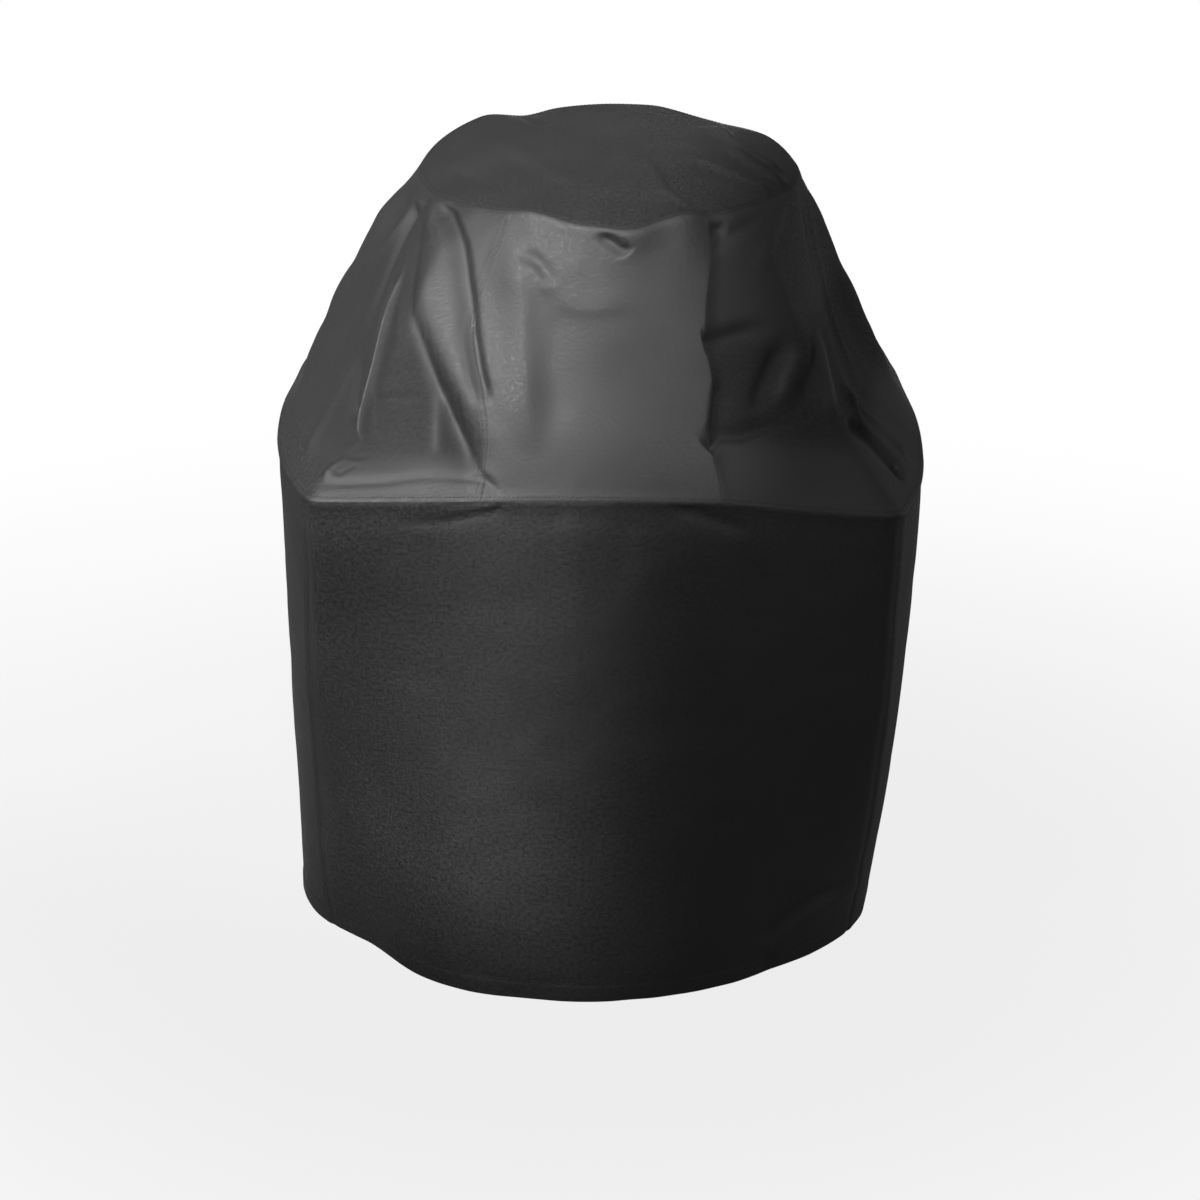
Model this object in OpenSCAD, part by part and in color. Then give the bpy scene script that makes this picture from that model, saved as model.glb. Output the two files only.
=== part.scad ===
// Fitted cloth cover for a barrel-shaped outdoor grill, in the shape that it drapes to in use.
// Millimetres, +Z up, front towards -Y. The origin is the middle of the hem, on the ground.
// Angles run around the cover from the front, and grow towards +X.

/* [Crown] */
// Diameter of the round crown panel
crown_d = 404; // [320:1:460]
// Height of the crown seam above the hem
crown_h = 835; // [760:1:920]
// Rise of the crown's middle above its seam
crown_rise = 14; // [0:1:30]
// Drift of the crown towards +X over the shoulder
crown_drift = 9; // [0:1:20]

/* [Shoulder] */
// Width across the shoulder
shoulder_w = 684; // [650:1:740]
// Depth of the shoulder, front to back
shoulder_d = 594; // [540:1:612]
// Height of the shoulder seam above the hem
shoulder_h = 563; // [500:1:620]
// Squareness of the shoulder's front half in plan, where 2 is an ellipse
front_squareness = 14; // [3:0.5:18]
// Squareness of the shoulder's back half
back_squareness = 3.5; // [2.5:0.5:8]
// Height that the shoulder loses from its -X end to its +X end
shoulder_tilt = 16; // [0:1:30]
// Droop of the shoulder at its four corners
corner_droop = 4; // [0:1:25]

/* [Hem] */
// Width of the hem
hem_w = 634; // [560:1:640]
// Depth of the hem, front to back
hem_d = 616; // [614:1:680]
// Drift of the hem towards -X under the shoulder
hem_drift = 16; // [0:1:20]
// Height of the turned-up hem band
hem_turn = 22; // [12:1:40]
// Outward bulge of the skirt half way down its +X side
skirt_bulge = 10; // [0:1:20]

/* [Cloth] */
// Thickness of the coated cloth
cloth_t = 1.2; // [0.8:0.1:2]
// Width of the tape that covers a seam inside
tape_w = 24; // [14:1:30]
// Thickness of that tape
tape_t = 0.8; // [0.4:0.1:1.2]

/* [Seams] */
// Angle of the front slope's seams at the crown
slope_seam_top = 29; // [24:1:40]
// Angle of the front slope's seams at the shoulder
slope_seam_foot = 22; // [16:1:32]
// Angle of the skirt's corner seams at the shoulder
skirt_seam_top = 47; // [42:1:56]
// Angle of the skirt's corner seams at the hem
skirt_seam_foot = 64; // [50:1:72]

/* [Folds] */
// Depth of the left hollow between crown and shoulder
left_hollow = 22; // [0:1:45]
// Depth of the right hollow behind the front slope's seam
right_hollow = 26; // [0:1:45]
// Depth of the hollow at the right end of the shoulder
end_hollow = 26; // [0:1:34]
// Lift of the long fold that borders the left hollow
fold_lift = 11; // [0:1:22]
// Depth of the valley beside that fold
valley_depth = 8; // [0:1:16]
// Lift of the thin crease inside the left hollow
crease_lift = 6; // [0:1:12]
// Lift of the bump under the front of the crown seam
bump_lift = 10; // [0:1:24]
// Depth of the flats where the skirt hangs straight at the hem
hem_flat = 24; // [0:1:30]

/* [Fastening straps] */
// Width of the webbing
strap_w = 38; // [25:1:50]
// Length of the free strap
strap_l = 150; // [110:1:170]
// Thickness of the webbing
strap_t = 1.6; // [1:0.1:2.4]
// Height of the strap's middle above the hem
strap_h = 84; // [60:1:200]
// Length of the end that is sewn to the skirt
anchor_l = 42; // [30:1:60]
// Distance that the sewn end stops ahead of the corner seam
anchor_setback = 30; // [16:1:50]
// Length of the hook and loop patches
patch_l = 62; // [40:1:80]
// Thickness of each patch
patch_t = 1; // [0.6:0.1:1.6]

/* [Hidden] */

cloth_colour = [0.10, 0.10, 0.105];
tape_colour = [0.07, 0.07, 0.07];
webbing_colour = [0.06, 0.06, 0.06];

crown_r = crown_d / 2;
slope_drop = crown_h - shoulder_h;
// Clearance between layers that lie on each other, and under the hem band
seat_gap = 0.3;
// Gap at the fold line between the sewn end and the free strap
fold_gap = 0.5;
// Length over which the strap climbs onto the patches
strap_climb = 40;
// Angle and height used to measure the slope of the cloth
probe_angle = 0.5;
probe_share = 0.01;
// Corners of the grid that match to within this angle are one
same_angle = 0.001;

// Hollows: one edge's angles at the crown and the shoulder, the other edge's, then the depth
front_hollows = [
    [-88, -80, -62, -17, left_hollow],
    [slope_seam_top, slope_seam_foot, 71, 56, right_hollow],
    [66, 52, 100, 92, end_hollow]
];
// Folds: angle at the crown, angle at the shoulder, middle and spread along the slope, half width, lift
front_folds = [
    [-62, -17, 0.45, 0.40, 5.0, fold_lift],
    [-44, -12, 0.40, 0.30, 4.5, -valley_depth],
    [-26, -10, 0.40, 0.25, 5.0, fold_lift / 3],
    [-66, -42, 0.58, 0.22, 3.5, crease_lift],
    [71, 36, 0.40, 0.30, 6.0, fold_lift / 2],
    [6, 5, 0.10, 0.10, 9.0, bump_lift]
];
// The back hangs as the front does, turned half round
hollows = concat(front_hollows, [for (h = front_hollows) h + [180, 180, 180, 180, 0]]);
folds = concat(front_folds, [for (f = front_folds) f + [180, 180, 0, 0, 0, 0]]);
// Skirt folds: angle at the shoulder, angle at the hem, half width, depth at the hem
skirt_folds = [
    [-47, -53, 15, -hem_flat],
    [50, 40, 10, -hem_flat / 4],
    [62, 66, 12, hem_flat / 4],
    [166, 166, 7, -hem_flat / 4],
    [196, 194, 7, -hem_flat / 4]
];
// Powers that shape a hollow down the slope and across it
hollow_rise = 2.6;
hollow_fall = 0.8;
hollow_across = 1.4;
// Powers that keep the skirt's bulge on its side, and that grow its folds towards the hem
bulge_reach = 4;
skirt_growth = 1.5;
// How fast the folds fade out at the two seams
seam_fade = 9;
// Power that keeps the shoulder's droop to its corners
corner_reach = 4;
// Steps of the grid: across the front slope, to the corner, round the side, across a tape,
// then down the slope and the skirt, out over the crown, and along the straps
front_steps = 4;
corner_steps = 4;
side_steps = 6;
tape_steps = 2;
slope_steps = 9;
skirt_steps = 6;
crown_steps = 3;
anchor_steps = 4;
strap_steps = 8;
patch_steps = 5;
// Share of the crown's radius where its grid starts
crown_start = 0.25;

function lerp(a, b, t) = a + (b - a) * t;
function smooth(t) = let (c = max(0, min(1, t))) c * c * (3 - 2 * c);
function bell(d, w) = exp(-(d / w) * (d / w));
function sum(list, i = 0) = i >= len(list) ? 0 : list[i] + sum(list, i + 1);
function turn(a) = a - 360 * round(a / 360);
function unit(v) = v / norm(v);
function at(th, r, z) = [r * sin(th), -r * cos(th), z];
function plan_r(th, w, d, square) =
    pow(pow(abs(sin(th)) * 2 / w, square) + pow(abs(cos(th)) * 2 / d, square), -1 / square);
function shoulder_r(th) =
    plan_r(th, shoulder_w, shoulder_d, cos(th) > 0 ? front_squareness : back_squareness);
function shoulder_z(th) =
    shoulder_h - shoulder_tilt / 2 * sin(th) - corner_droop * pow(sin(2 * th), corner_reach);
function hem_r(th) = plan_r(th, hem_w, hem_d, 2);

// Columns keep their order around the cover, but fan out so that a seam moves to its angle at each height
function fan_half(b, seam, there) =
    b <= seam ? b * there / seam
    : b <= 180 - seam ? 90 + (b - 90) * (90 - there) / (90 - seam)
    : 180 - (180 - b) * there / seam;
function fan(th, seam, there) = let (a = turn(th)) sign(a) * fan_half(abs(a), seam, there);
function slope_angle(col, v) = fan(col, slope_seam_foot, lerp(slope_seam_top, slope_seam_foot, v));
function skirt_angle(col, v) = fan(col, skirt_seam_top, lerp(skirt_seam_top, skirt_seam_foot, v));

// Hollow between two edges, deepest near the shoulder, and zero on both seams
function hollow_share(v) = pow(v, hollow_rise) * pow(1 - v, hollow_fall);
hollow_peak = hollow_share(hollow_rise / (hollow_rise + hollow_fall));
function hollow_at(h, th, v) =
    let (
        near = lerp(h[0], h[1], v),
        far = lerp(h[2], h[3], v),
        t = turn(th - (near + far) / 2) * 2 / (far - near)
    )
    abs(t) >= 1 ? 0 : h[4] * pow(cos(90 * t), hollow_across) * hollow_share(v) / hollow_peak;
function fold_at(f, th, v) =
    let (
        across = bell(turn(th - lerp(f[0], f[1], v)), f[4]),
        along = bell(v - f[2], f[3]) * min(1, seam_fade * v * (1 - v))
    )
    f[5] * across * along;
function slope_relief(th, v) =
    sum([for (f = folds) fold_at(f, th, v)]) - sum([for (h = hollows) hollow_at(h, th, v)]);

// Outer face of the slope, from the crown seam at share 0 to the shoulder seam at share 1
function slope_point(col, v) =
    let (
        th = slope_angle(col, v),
        run = shoulder_r(th) - crown_r,
        drop = crown_h - shoulder_z(th),
        out = [drop, run] / norm([drop, run]),
        d = slope_relief(th, v),
        r = lerp(crown_r, shoulder_r(th), v) + d * out[0]
    )
    at(th, r, crown_h - drop * v + d * out[1]) + [crown_drift * (1 - v), 0, 0];

// Outer face of the skirt at a true angle, from the shoulder seam at share 0 to the hem at share 1
function skirt_fold_at(f, th, v) =
    f[3] * pow(v, skirt_growth) * bell(turn(th - lerp(f[0], f[1], v)), f[2]);
function skirt_bulge_at(th, v) = skirt_bulge * pow(max(0, sin(th)), bulge_reach) * sin(180 * v);
function skirt_face(th, v) =
    let (d = skirt_bulge_at(th, v) + sum([for (f = skirt_folds) skirt_fold_at(f, th, v)]))
    at(th, lerp(shoulder_r(th), hem_r(th), v) + d, shoulder_z(th) * (1 - v)) - [hem_drift * v, 0, 0];

// Unit vector into the cover from a point of the slope or the skirt
function slope_inward(col, v) = unit(cross(
    slope_point(col + probe_angle, v) - slope_point(col - probe_angle, v),
    slope_point(col, v + probe_share) - slope_point(col, v - probe_share)));
function skirt_inward(th, v) = unit(cross(
    skirt_face(th + probe_angle, v) - skirt_face(th - probe_angle, v),
    skirt_face(th, v + probe_share) - skirt_face(th, v - probe_share)));

// The same faces at a depth under the outer one, with mitred seams that neighbours share
function crown_at(col, u, d) =
    let (
        th = slope_angle(col, 0),
        seam = at(th, crown_r - d, crown_h - d),
        face = at(th, crown_r * u, crown_h + crown_rise * (1 - u * u) - d)
    )
    (u == 1 ? seam : face) + [crown_drift, 0, 0];
function slope_at(col, v, d) =
    v == 0 ? crown_at(col, 1, d)
    : v == 1 ? at(col, shoulder_r(col) - d, shoulder_z(col) - d)
    : slope_point(col, v) + d * slope_inward(col, v);
function skirt_at(col, v, d) =
    let (th = skirt_angle(col, v))
    v == 0 ? slope_at(col, 1, d)
    : v == 1 ? skirt_face(th, 1) - at(th, d, 0)
    : skirt_face(th, v) + d * skirt_inward(th, v);

// Columns around the cover, with one on each seam and one on each edge of a seam's tape
function steps(a, b, n) = [for (i = [0:n - 1]) lerp(a, b, i / n)];
function reversed(list) = [for (i = [len(list) - 1:-1:0]) list[i]];
slope_tape_a = atan(tape_w / 2 / shoulder_r(slope_seam_foot));
skirt_tape_a = atan(tape_w / 2 / shoulder_r(skirt_seam_top));
quarter = concat(
    steps(0, slope_seam_foot - slope_tape_a, front_steps),
    steps(slope_seam_foot - slope_tape_a, slope_seam_foot + slope_tape_a, tape_steps),
    steps(slope_seam_foot + slope_tape_a, skirt_seam_top - skirt_tape_a, corner_steps),
    steps(skirt_seam_top - skirt_tape_a, skirt_seam_top + skirt_tape_a, tape_steps),
    steps(skirt_seam_top + skirt_tape_a, 90, side_steps)
);
half = concat(quarter, [90], reversed([for (i = [1:len(quarter) - 1]) 180 - quarter[i]]));
columns = concat(half, [for (a = half) a + 180]);
function between(a, b) =
    [for (k = [-1:1], c = columns) let (x = c + 360 * k) if (x > a - same_angle && x < b + same_angle) x];

// Rows down the slope and the skirt, with one on the edge of each tape and of the hem band
slope_edge = tape_w / 2 / slope_drop;
skirt_edge = tape_w / 2 / shoulder_h;
hem_edge = 1 - hem_turn / shoulder_h;
slope_rows = concat([0], steps(slope_edge, 1 - slope_edge, slope_steps), [1 - slope_edge, 1]);
skirt_rows = concat([0], steps(skirt_edge, hem_edge, skirt_steps), [hem_edge, 1]);
slope_tape_rows = [for (v = slope_rows) if (v > 0 && v < 1) v];
skirt_tape_rows = [for (v = skirt_rows) if (v > 0 && v < 1) v];
crown_edge = 1 - tape_w / 2 / crown_r;
crown_rows = concat(steps(crown_start, crown_edge, crown_steps), [crown_edge, 1]);

function join(lists) = [for (l = lists, x = l) x];

// Closed sheet between two grids of points, whose rows run down and columns run to the right.
// A ring closes on itself, and a hub closes its first row with a middle point on each face.
module sheet(outer, inner, ring = false, hub = []) {
    rows = len(outer);
    cols = len(outer[0]);
    n = rows * cols;
    last = ring ? cols - 1 : cols - 2;
    open_top = len(hub) == 0;
    faces = join([
        for (i = [0:rows - 2], j = [0:last])
            let (
                a = i * cols + j,
                b = i * cols + (j + 1) % cols,
                c = b + cols,
                d = a + cols
            )
            [[a, b, c], [a, c, d], [a + n, c + n, b + n], [a + n, d + n, c + n]]
    ]);
    rims = join([
        for (j = [0:last])
            let (
                a = j,
                b = (j + 1) % cols,
                c = (rows - 1) * cols + a,
                d = (rows - 1) * cols + b
            )
            concat(
                open_top ? [[a, a + n, b + n], [a, b + n, b]]
                    : [[2 * n, b, a], [2 * n + 1, a + n, b + n]],
                [[c, d + n, c + n], [c, d, d + n]]
            )
    ]);
    sides = ring ? [] : join([
        for (i = [0:rows - 2])
            let (
                a = i * cols,
                d = a + cols,
                b = a + cols - 1,
                c = b + cols
            )
            [[a + n, a, d], [a + n, d, d + n], [b + n, c, b], [b + n, c + n, c]]
    ]);
    polyhedron(points = concat(join(outer), join(inner), hub), faces = concat(faces, rims, sides));
}

// Part of the slope or the skirt between two depths under its outer face
module slope_sheet(cols, rows, near, far) {
    sheet(
        [for (v = rows) [for (c = cols) slope_at(c, v, near)]],
        [for (v = rows) [for (c = cols) slope_at(c, v, far)]]
    );
}
module skirt_sheet(cols, rows, near, far) {
    sheet(
        [for (v = rows) [for (c = cols) skirt_at(c, v, near)]],
        [for (v = rows) [for (c = cols) skirt_at(c, v, far)]]
    );
}

module crown_panel() {
    middle = crown_h + crown_rise;
    color(cloth_colour) sheet(
        [for (u = crown_rows) [for (c = columns) crown_at(c, u, 0)]],
        [for (u = crown_rows) [for (c = columns) crown_at(c, u, cloth_t)]],
        ring = true,
        hub = [[crown_drift, 0, middle], [crown_drift, 0, middle - cloth_t]]
    );
}

module slope_panel(from, to) {
    color(cloth_colour) slope_sheet(between(from, to), slope_rows, 0, cloth_t);
}

module skirt_panel(from, to) {
    color(cloth_colour) skirt_sheet(between(from, to), skirt_rows, 0, cloth_t);
}

// Cloth turned up inside the skirt, just clear of the ground
module hem_band() {
    depths = [cloth_t + seat_gap, 2 * cloth_t + seat_gap];
    grids = [for (d = depths) [
        for (t = [0, 1 - seat_gap / hem_turn])
            [for (c = columns) lerp(skirt_at(c, hem_edge, d), skirt_at(c, 1, d), t)]
    ]];
    color(cloth_colour) sheet(grids[0], grids[1], ring = true);
}

// Tape that wraps the inside of the crown seam
module crown_seam_tape() {
    depths = [cloth_t, cloth_t + tape_t];
    grids = [for (d = depths) [
        [for (c = columns) crown_at(c, crown_edge, d)],
        [for (c = columns) crown_at(c, 1, d)],
        [for (c = columns) slope_at(c, slope_edge, d)]
    ]];
    color(tape_colour) sheet(grids[0], grids[1], ring = true);
}

// Tape that wraps the inside of the shoulder seam
module shoulder_seam_tape() {
    depths = [cloth_t, cloth_t + tape_t];
    grids = [for (d = depths) [
        [for (c = columns) slope_at(c, 1 - slope_edge, d)],
        [for (c = columns) slope_at(c, 1, d)],
        [for (c = columns) skirt_at(c, skirt_edge, d)]
    ]];
    color(tape_colour) sheet(grids[0], grids[1], ring = true);
}

module slope_tape(seam) {
    cols = between(seam - slope_tape_a, seam + slope_tape_a);
    color(tape_colour) slope_sheet(cols, slope_tape_rows, cloth_t, cloth_t + tape_t);
}

module skirt_tape(seam) {
    cols = between(seam - skirt_tape_a, seam + skirt_tape_a);
    color(tape_colour) skirt_sheet(cols, skirt_tape_rows, cloth_t, cloth_t + tape_t);
}

// Straps lie along the outside of the skirt, and are placed by distance along it from the back corner seam
strap_share = 1 - strap_h / shoulder_h;
strap_half = strap_w / 2 / shoulder_h;
back_seam = 180 - skirt_angle(skirt_seam_top, strap_share);
function strap_angle(distance) = back_seam + distance / hem_r(back_seam) * 180 / PI;
strap_start = fold_gap - anchor_setback;
patch_start = strap_start + strap_l - patch_l;
anchor_places = concat(steps(-anchor_setback - anchor_l, -anchor_setback, anchor_steps), [-anchor_setback]);
patch_places = concat(steps(patch_start, patch_start + patch_l, patch_steps), [patch_start + patch_l]);
strap_places = concat(steps(strap_start, patch_start, strap_steps), patch_places);
stack = 2 * (seat_gap + patch_t);
function strap_seat(x) = lerp(seat_gap, stack, smooth((x - strap_start) / strap_climb));

// Band along the skirt on one side, +1 right or -1 left, whose two faces lie at given distances off it
function off_skirt(th, v, d) = skirt_face(th, v) - d * skirt_inward(th, v);
function band_row(places, seats, v, side) =
    let (row = [for (i = [0:len(places) - 1]) off_skirt(side * strap_angle(places[i]), v, seats[i])])
    side > 0 ? row : reversed(row);
module band(places, seats, thick, side) {
    shares = [strap_share - strap_half, strap_share + strap_half];
    outer_seats = [for (s = seats) s + thick];
    sheet(
        [for (v = shares) band_row(places, outer_seats, v, side)],
        [for (v = shares) band_row(places, seats, v, side)]
    );
}

module strap_anchor(side) {
    color(webbing_colour) band(anchor_places, [for (x = anchor_places) seat_gap], strap_t, side);
}
module strap(side) {
    color(webbing_colour) band(strap_places, [for (x = strap_places) strap_seat(x)], strap_t, side);
}
module hook_patch(side) {
    color(tape_colour) band(patch_places, [for (x = patch_places) strap_seat(x) - patch_t], patch_t, side);
}
module loop_patch(side) {
    color(tape_colour) band(patch_places, [for (x = patch_places) seat_gap], patch_t, side);
}

crown_panel();
slope_panel(-slope_seam_foot, slope_seam_foot);  // slope_front
slope_panel(slope_seam_foot, 180 - slope_seam_foot);  // slope_right
slope_panel(180 - slope_seam_foot, 180 + slope_seam_foot);  // slope_back
slope_panel(slope_seam_foot - 180, -slope_seam_foot);  // slope_left
skirt_panel(-skirt_seam_top, skirt_seam_top);  // skirt_front
skirt_panel(skirt_seam_top, 180 - skirt_seam_top);  // skirt_right
skirt_panel(180 - skirt_seam_top, 180 + skirt_seam_top);  // skirt_back
skirt_panel(skirt_seam_top - 180, -skirt_seam_top);  // skirt_left
hem_band();
crown_seam_tape();
shoulder_seam_tape();
slope_tape(slope_seam_foot);  // slope_tape_front_right
slope_tape(180 - slope_seam_foot);  // slope_tape_back_right
slope_tape(slope_seam_foot - 180);  // slope_tape_back_left
slope_tape(-slope_seam_foot);  // slope_tape_front_left
skirt_tape(skirt_seam_top);  // skirt_tape_front_right
skirt_tape(180 - skirt_seam_top);  // skirt_tape_back_right
skirt_tape(skirt_seam_top - 180);  // skirt_tape_back_left
skirt_tape(-skirt_seam_top);  // skirt_tape_front_left
strap_anchor(1);  // strap_anchor_right
strap_anchor(-1);  // strap_anchor_left
strap(1);  // strap_right
strap(-1);  // strap_left
hook_patch(1);  // hook_patch_right
hook_patch(-1);  // hook_patch_left
loop_patch(1);  // loop_patch_right
loop_patch(-1);  // loop_patch_left
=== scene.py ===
import math

import bpy
import numpy as np
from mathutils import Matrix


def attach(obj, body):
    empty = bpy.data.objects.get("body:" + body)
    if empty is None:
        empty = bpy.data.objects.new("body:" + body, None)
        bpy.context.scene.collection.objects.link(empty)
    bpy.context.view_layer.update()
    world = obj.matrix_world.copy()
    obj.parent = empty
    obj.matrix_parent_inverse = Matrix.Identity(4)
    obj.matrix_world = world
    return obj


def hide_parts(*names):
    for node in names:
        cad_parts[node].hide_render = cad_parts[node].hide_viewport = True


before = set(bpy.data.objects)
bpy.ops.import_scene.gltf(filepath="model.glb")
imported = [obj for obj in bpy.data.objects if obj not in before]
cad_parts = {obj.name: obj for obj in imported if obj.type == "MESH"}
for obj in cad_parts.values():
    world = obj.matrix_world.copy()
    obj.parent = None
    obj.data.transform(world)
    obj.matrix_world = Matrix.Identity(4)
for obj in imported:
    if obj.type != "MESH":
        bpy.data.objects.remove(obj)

bpy.ops.object.select_all(action="DESELECT")
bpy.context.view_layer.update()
print("frame: loaded", len(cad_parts), "nodes")

# camera straight on, looking a little down
shot = {
    "lookAt": (0, 0, 0.335), "distance": 4.6, "elevation": 22.0, "lens": 125.46, "sensor": 36.0,
}
shotRise = math.radians(shot["elevation"])
shotBack = shot["distance"] * math.cos(shotRise)
shotUp = shot["distance"] * math.sin(shotRise)
bpy.ops.object.camera_add(
    location=(shot["lookAt"][0], shot["lookAt"][1] - shotBack, shot["lookAt"][2] + shotUp),
    rotation=(math.pi / 2 - shotRise, 0, 0),
)
camera = bpy.context.object
camera.data.lens = shot["lens"]
camera.data.sensor_width = shot["sensor"]
bpy.context.scene.camera = camera
print("camera: set")

# sizes of the draped cover in metres, seam angles in degrees from the front
cover = {
    "crownWide": 0.404,
    "crownHigh": 0.835,
    "crownRise": 0.014,
    "crownDrift": 0.009,
    "crownCalm": 0.90,
    "shoulderWide": 0.684,
    "shoulderDeep": 0.594,
    "shoulderHigh": 0.563,
    "edgeSharp": 60.0,
    "sideTrim": 0.022,
    "sideTrimAt": 106.0,
    "sideTrimSpan": 14.0,
    "backSquare": 3.5,
    "hemWide": 0.634,
    "hemDeep": 0.616,
    "hemSquare": 2.0,
    "hemDrift": 0.016,
    "hemTurn": 0.022,
    "skirtBulge": 0.010,
    "slopeSeamTop": 29.0,
    "slopeSeamFoot": 22.0,
    "skirtSeamTop": 47.0,
    "skirtSeamFoot": 64.0,
    "clothThick": 0.0008,
    "crownRound": 0.006,
    "shoulderRound": 0.0035,
    "shoulderLip": 0.0012,
    "lipWide": 0.007,
    "shoulderDip": 0.0007,
    "dipAt": 0.020,
    "dipWide": 0.012,
    "edgeReach": 0.30,
}
crownRadius = cover["crownWide"] / 2
# folds are drawn on a slope and a skirt laid flat, at about these sizes
slopeLength = 0.30
slopeSpread = 0.12
skirtRadius = 0.31
millimetre = 0.001


def ease(t):
    c = np.clip(t, 0, 1)
    return c * c * (3 - 2 * c)


# comes in over a share of the way down and goes out over another
def between(share, comes, goes):
    return ease(share / comes) * ease((1 - share) / goes)


def bell(distance, width):
    return np.exp(-((distance / width) ** 2))


def turned(angle):
    return angle - 360 * np.round(angle / 360)


def mixed(a, b, t):
    return a + (b - a) * t


def unit(way):
    return way / np.linalg.norm(way, axis=-1, keepdims=True)


# length covered so far at each point of a line, or of each row of a grid
def lengthSoFar(points):
    legs = np.linalg.norm(np.diff(points, axis=-2), axis=-1)
    return np.concatenate([0 * legs[..., :1], np.cumsum(legs, -1)], -1)


# smooth curve through a few points, either open or closed round the cover
def softCurve(points, blur, loop=False, steps=721, tails=4):
    x, y = np.array(points, float).T
    grid = np.linspace(x[0], x[-1], steps)
    value = np.interp(grid, x, y)
    step = grid[1] - grid[0]
    reach = int(tails * blur / step) + 1
    weight = np.exp(-0.5 * (np.arange(-reach, reach + 1) * step / blur) ** 2)
    if loop:
        longer = np.concatenate([value[-reach - 1:-1], value, value[1:reach + 1]])
    else:
        head = 2 * value[0] - value[reach:0:-1]
        tail = 2 * value[-1] - value[-2:-reach - 2:-1]
        longer = np.concatenate([head, value, tail])
    soft = np.convolve(longer, weight / weight.sum(), "valid")
    return lambda t: np.interp(t, grid, soft)


# rounds a folded edge: how far a point at some distance from it moves in
roundTable = np.linspace(0, 5, 301)
roundMove = np.array([
    math.exp(-t * t / 2) / math.sqrt(2 * math.pi) - t * math.erfc(t / math.sqrt(2)) / 2
    for t in roundTable
])


def roundOff(distance, radius):
    return radius * np.interp(distance / radius, roundTable, roundMove, right=0.0)


# uneven cloth: layers of soft random relief as (height, patches round, patches down, seed)
unevenness = {
    "crown": [(0.0012, 9, 4, 31)],
    "slope": [(0.0006, 30, 5, 11), (0.0003, 84, 12, 12)],
    "skirt": [(0.0011, 30, 7, 21), (0.0005, 80, 20, 22)],
}


# one layer, from -1 to 1, that closes round the cover
def ripple(angle, share, around, down, seed):
    dice = np.random.default_rng(seed).uniform(-1, 1, (down + 3, around))
    a = (angle + 180) / 360 * around
    b = np.clip(share, 0, 1) * down
    ia, ib = np.floor(a).astype(int), np.floor(b).astype(int)
    fa, fb = ease(a - ia), ease(b - ib)
    top = mixed(dice[ib, ia % around], dice[ib, (ia + 1) % around], fa)
    foot = mixed(dice[ib + 1, ia % around], dice[ib + 1, (ia + 1) % around], fa)
    return mixed(top, foot, fb)


def uneven(part, angle, share):
    return sum(high * ripple(angle, share, *rest) for high, *rest in unevenness[part])


# a fold is drawn as a stroke: its points, lift, width to the left and to the right in millimetres
# (or the width at each end), the shares of its length over which it comes and goes, and a last 1
# if it is a sharp crease
strokeReach = 3.0
crease = {"steep": 1.5, "blunt": 0.06, "level": 0.245, "fade": 2.6}


def creaseShape(q):
    rise = np.sqrt(q * q + crease["blunt"]) - crease["level"]
    return np.exp(-crease["steep"] * rise) * bell(q, crease["fade"])


# relief of some strokes at points of the cloth, where flat lays such points out in metres
def strokeHeights(strokes, a, b, flat):
    x, y = flat(a, b)
    total = np.zeros(x.shape)
    for points, lift, left, right, fadeIn, fadeOut, *sharp in strokes:
        path = smoothPath(np.stack(flat(*np.array(points, float).T), 1))
        leftEnds, rightEnds = np.broadcast_to(left, 2), np.broadcast_to(right, 2)
        reach = strokeReach * max(*leftEnds, *rightEnds) * millimetre
        low, high = path.min(0) - reach, path.max(0) + reach
        near = (x > low[0]) & (x < high[0]) & (y > low[1]) & (y < high[1])
        if not near.any():
            continue
        px, py = x[near], y[near]
        legs = np.diff(path, axis=0)
        sizes = np.hypot(legs[:, 0], legs[:, 1])
        starts = np.concatenate([[0], np.cumsum(sizes)])
        best = np.full(px.shape, np.inf)
        side = np.zeros(px.shape)
        along = np.zeros(px.shape)
        for k, (dx, dy) in enumerate(legs):
            t = ((px - path[k, 0]) * dx + (py - path[k, 1]) * dy) / sizes[k] ** 2
            t = np.clip(t, 0, 1)
            qx = px - path[k, 0] - t * dx
            qy = py - path[k, 1] - t * dy
            gap = qx * qx + qy * qy
            closer = gap < best
            best = np.where(closer, gap, best)
            side = np.where(closer, dy * qx - dx * qy, side)
            along = np.where(closer, (starts[k] + t * sizes[k]) / starts[-1], along)
        wide = np.where(side > 0, mixed(*rightEnds, along), mixed(*leftEnds, along))
        q = np.sqrt(best) / (wide * millimetre)
        shape = creaseShape(q) if sharp else bell(q, 1.0)
        total[near] += lift * millimetre * shape * between(along, fadeIn, fadeOut)
    return total


# rounds the corners of a stroke
def smoothPath(points, parts=6):
    ends = np.vstack([2 * points[0] - points[1], points, 2 * points[-1] - points[-2]])
    path = []
    for k in range(1, len(ends) - 2):
        a, b, c, d = ends[k - 1:k + 3]
        for t in np.arange(parts) / parts:
            path.append(0.5 * (2 * b + (c - a) * t + (2 * a - 5 * b + 4 * c - d) * t ** 2
                               + (3 * b - a - 3 * c + d) * t ** 3))
    path.append(points[-1])
    return np.array(path)


def planRadius(th, wide, deep, square):
    s, c = np.abs(np.sin(np.radians(th))), np.abs(np.cos(np.radians(th)))
    return ((s * 2 / wide) ** square + (c * 2 / deep) ** square) ** (-1 / square)


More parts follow.
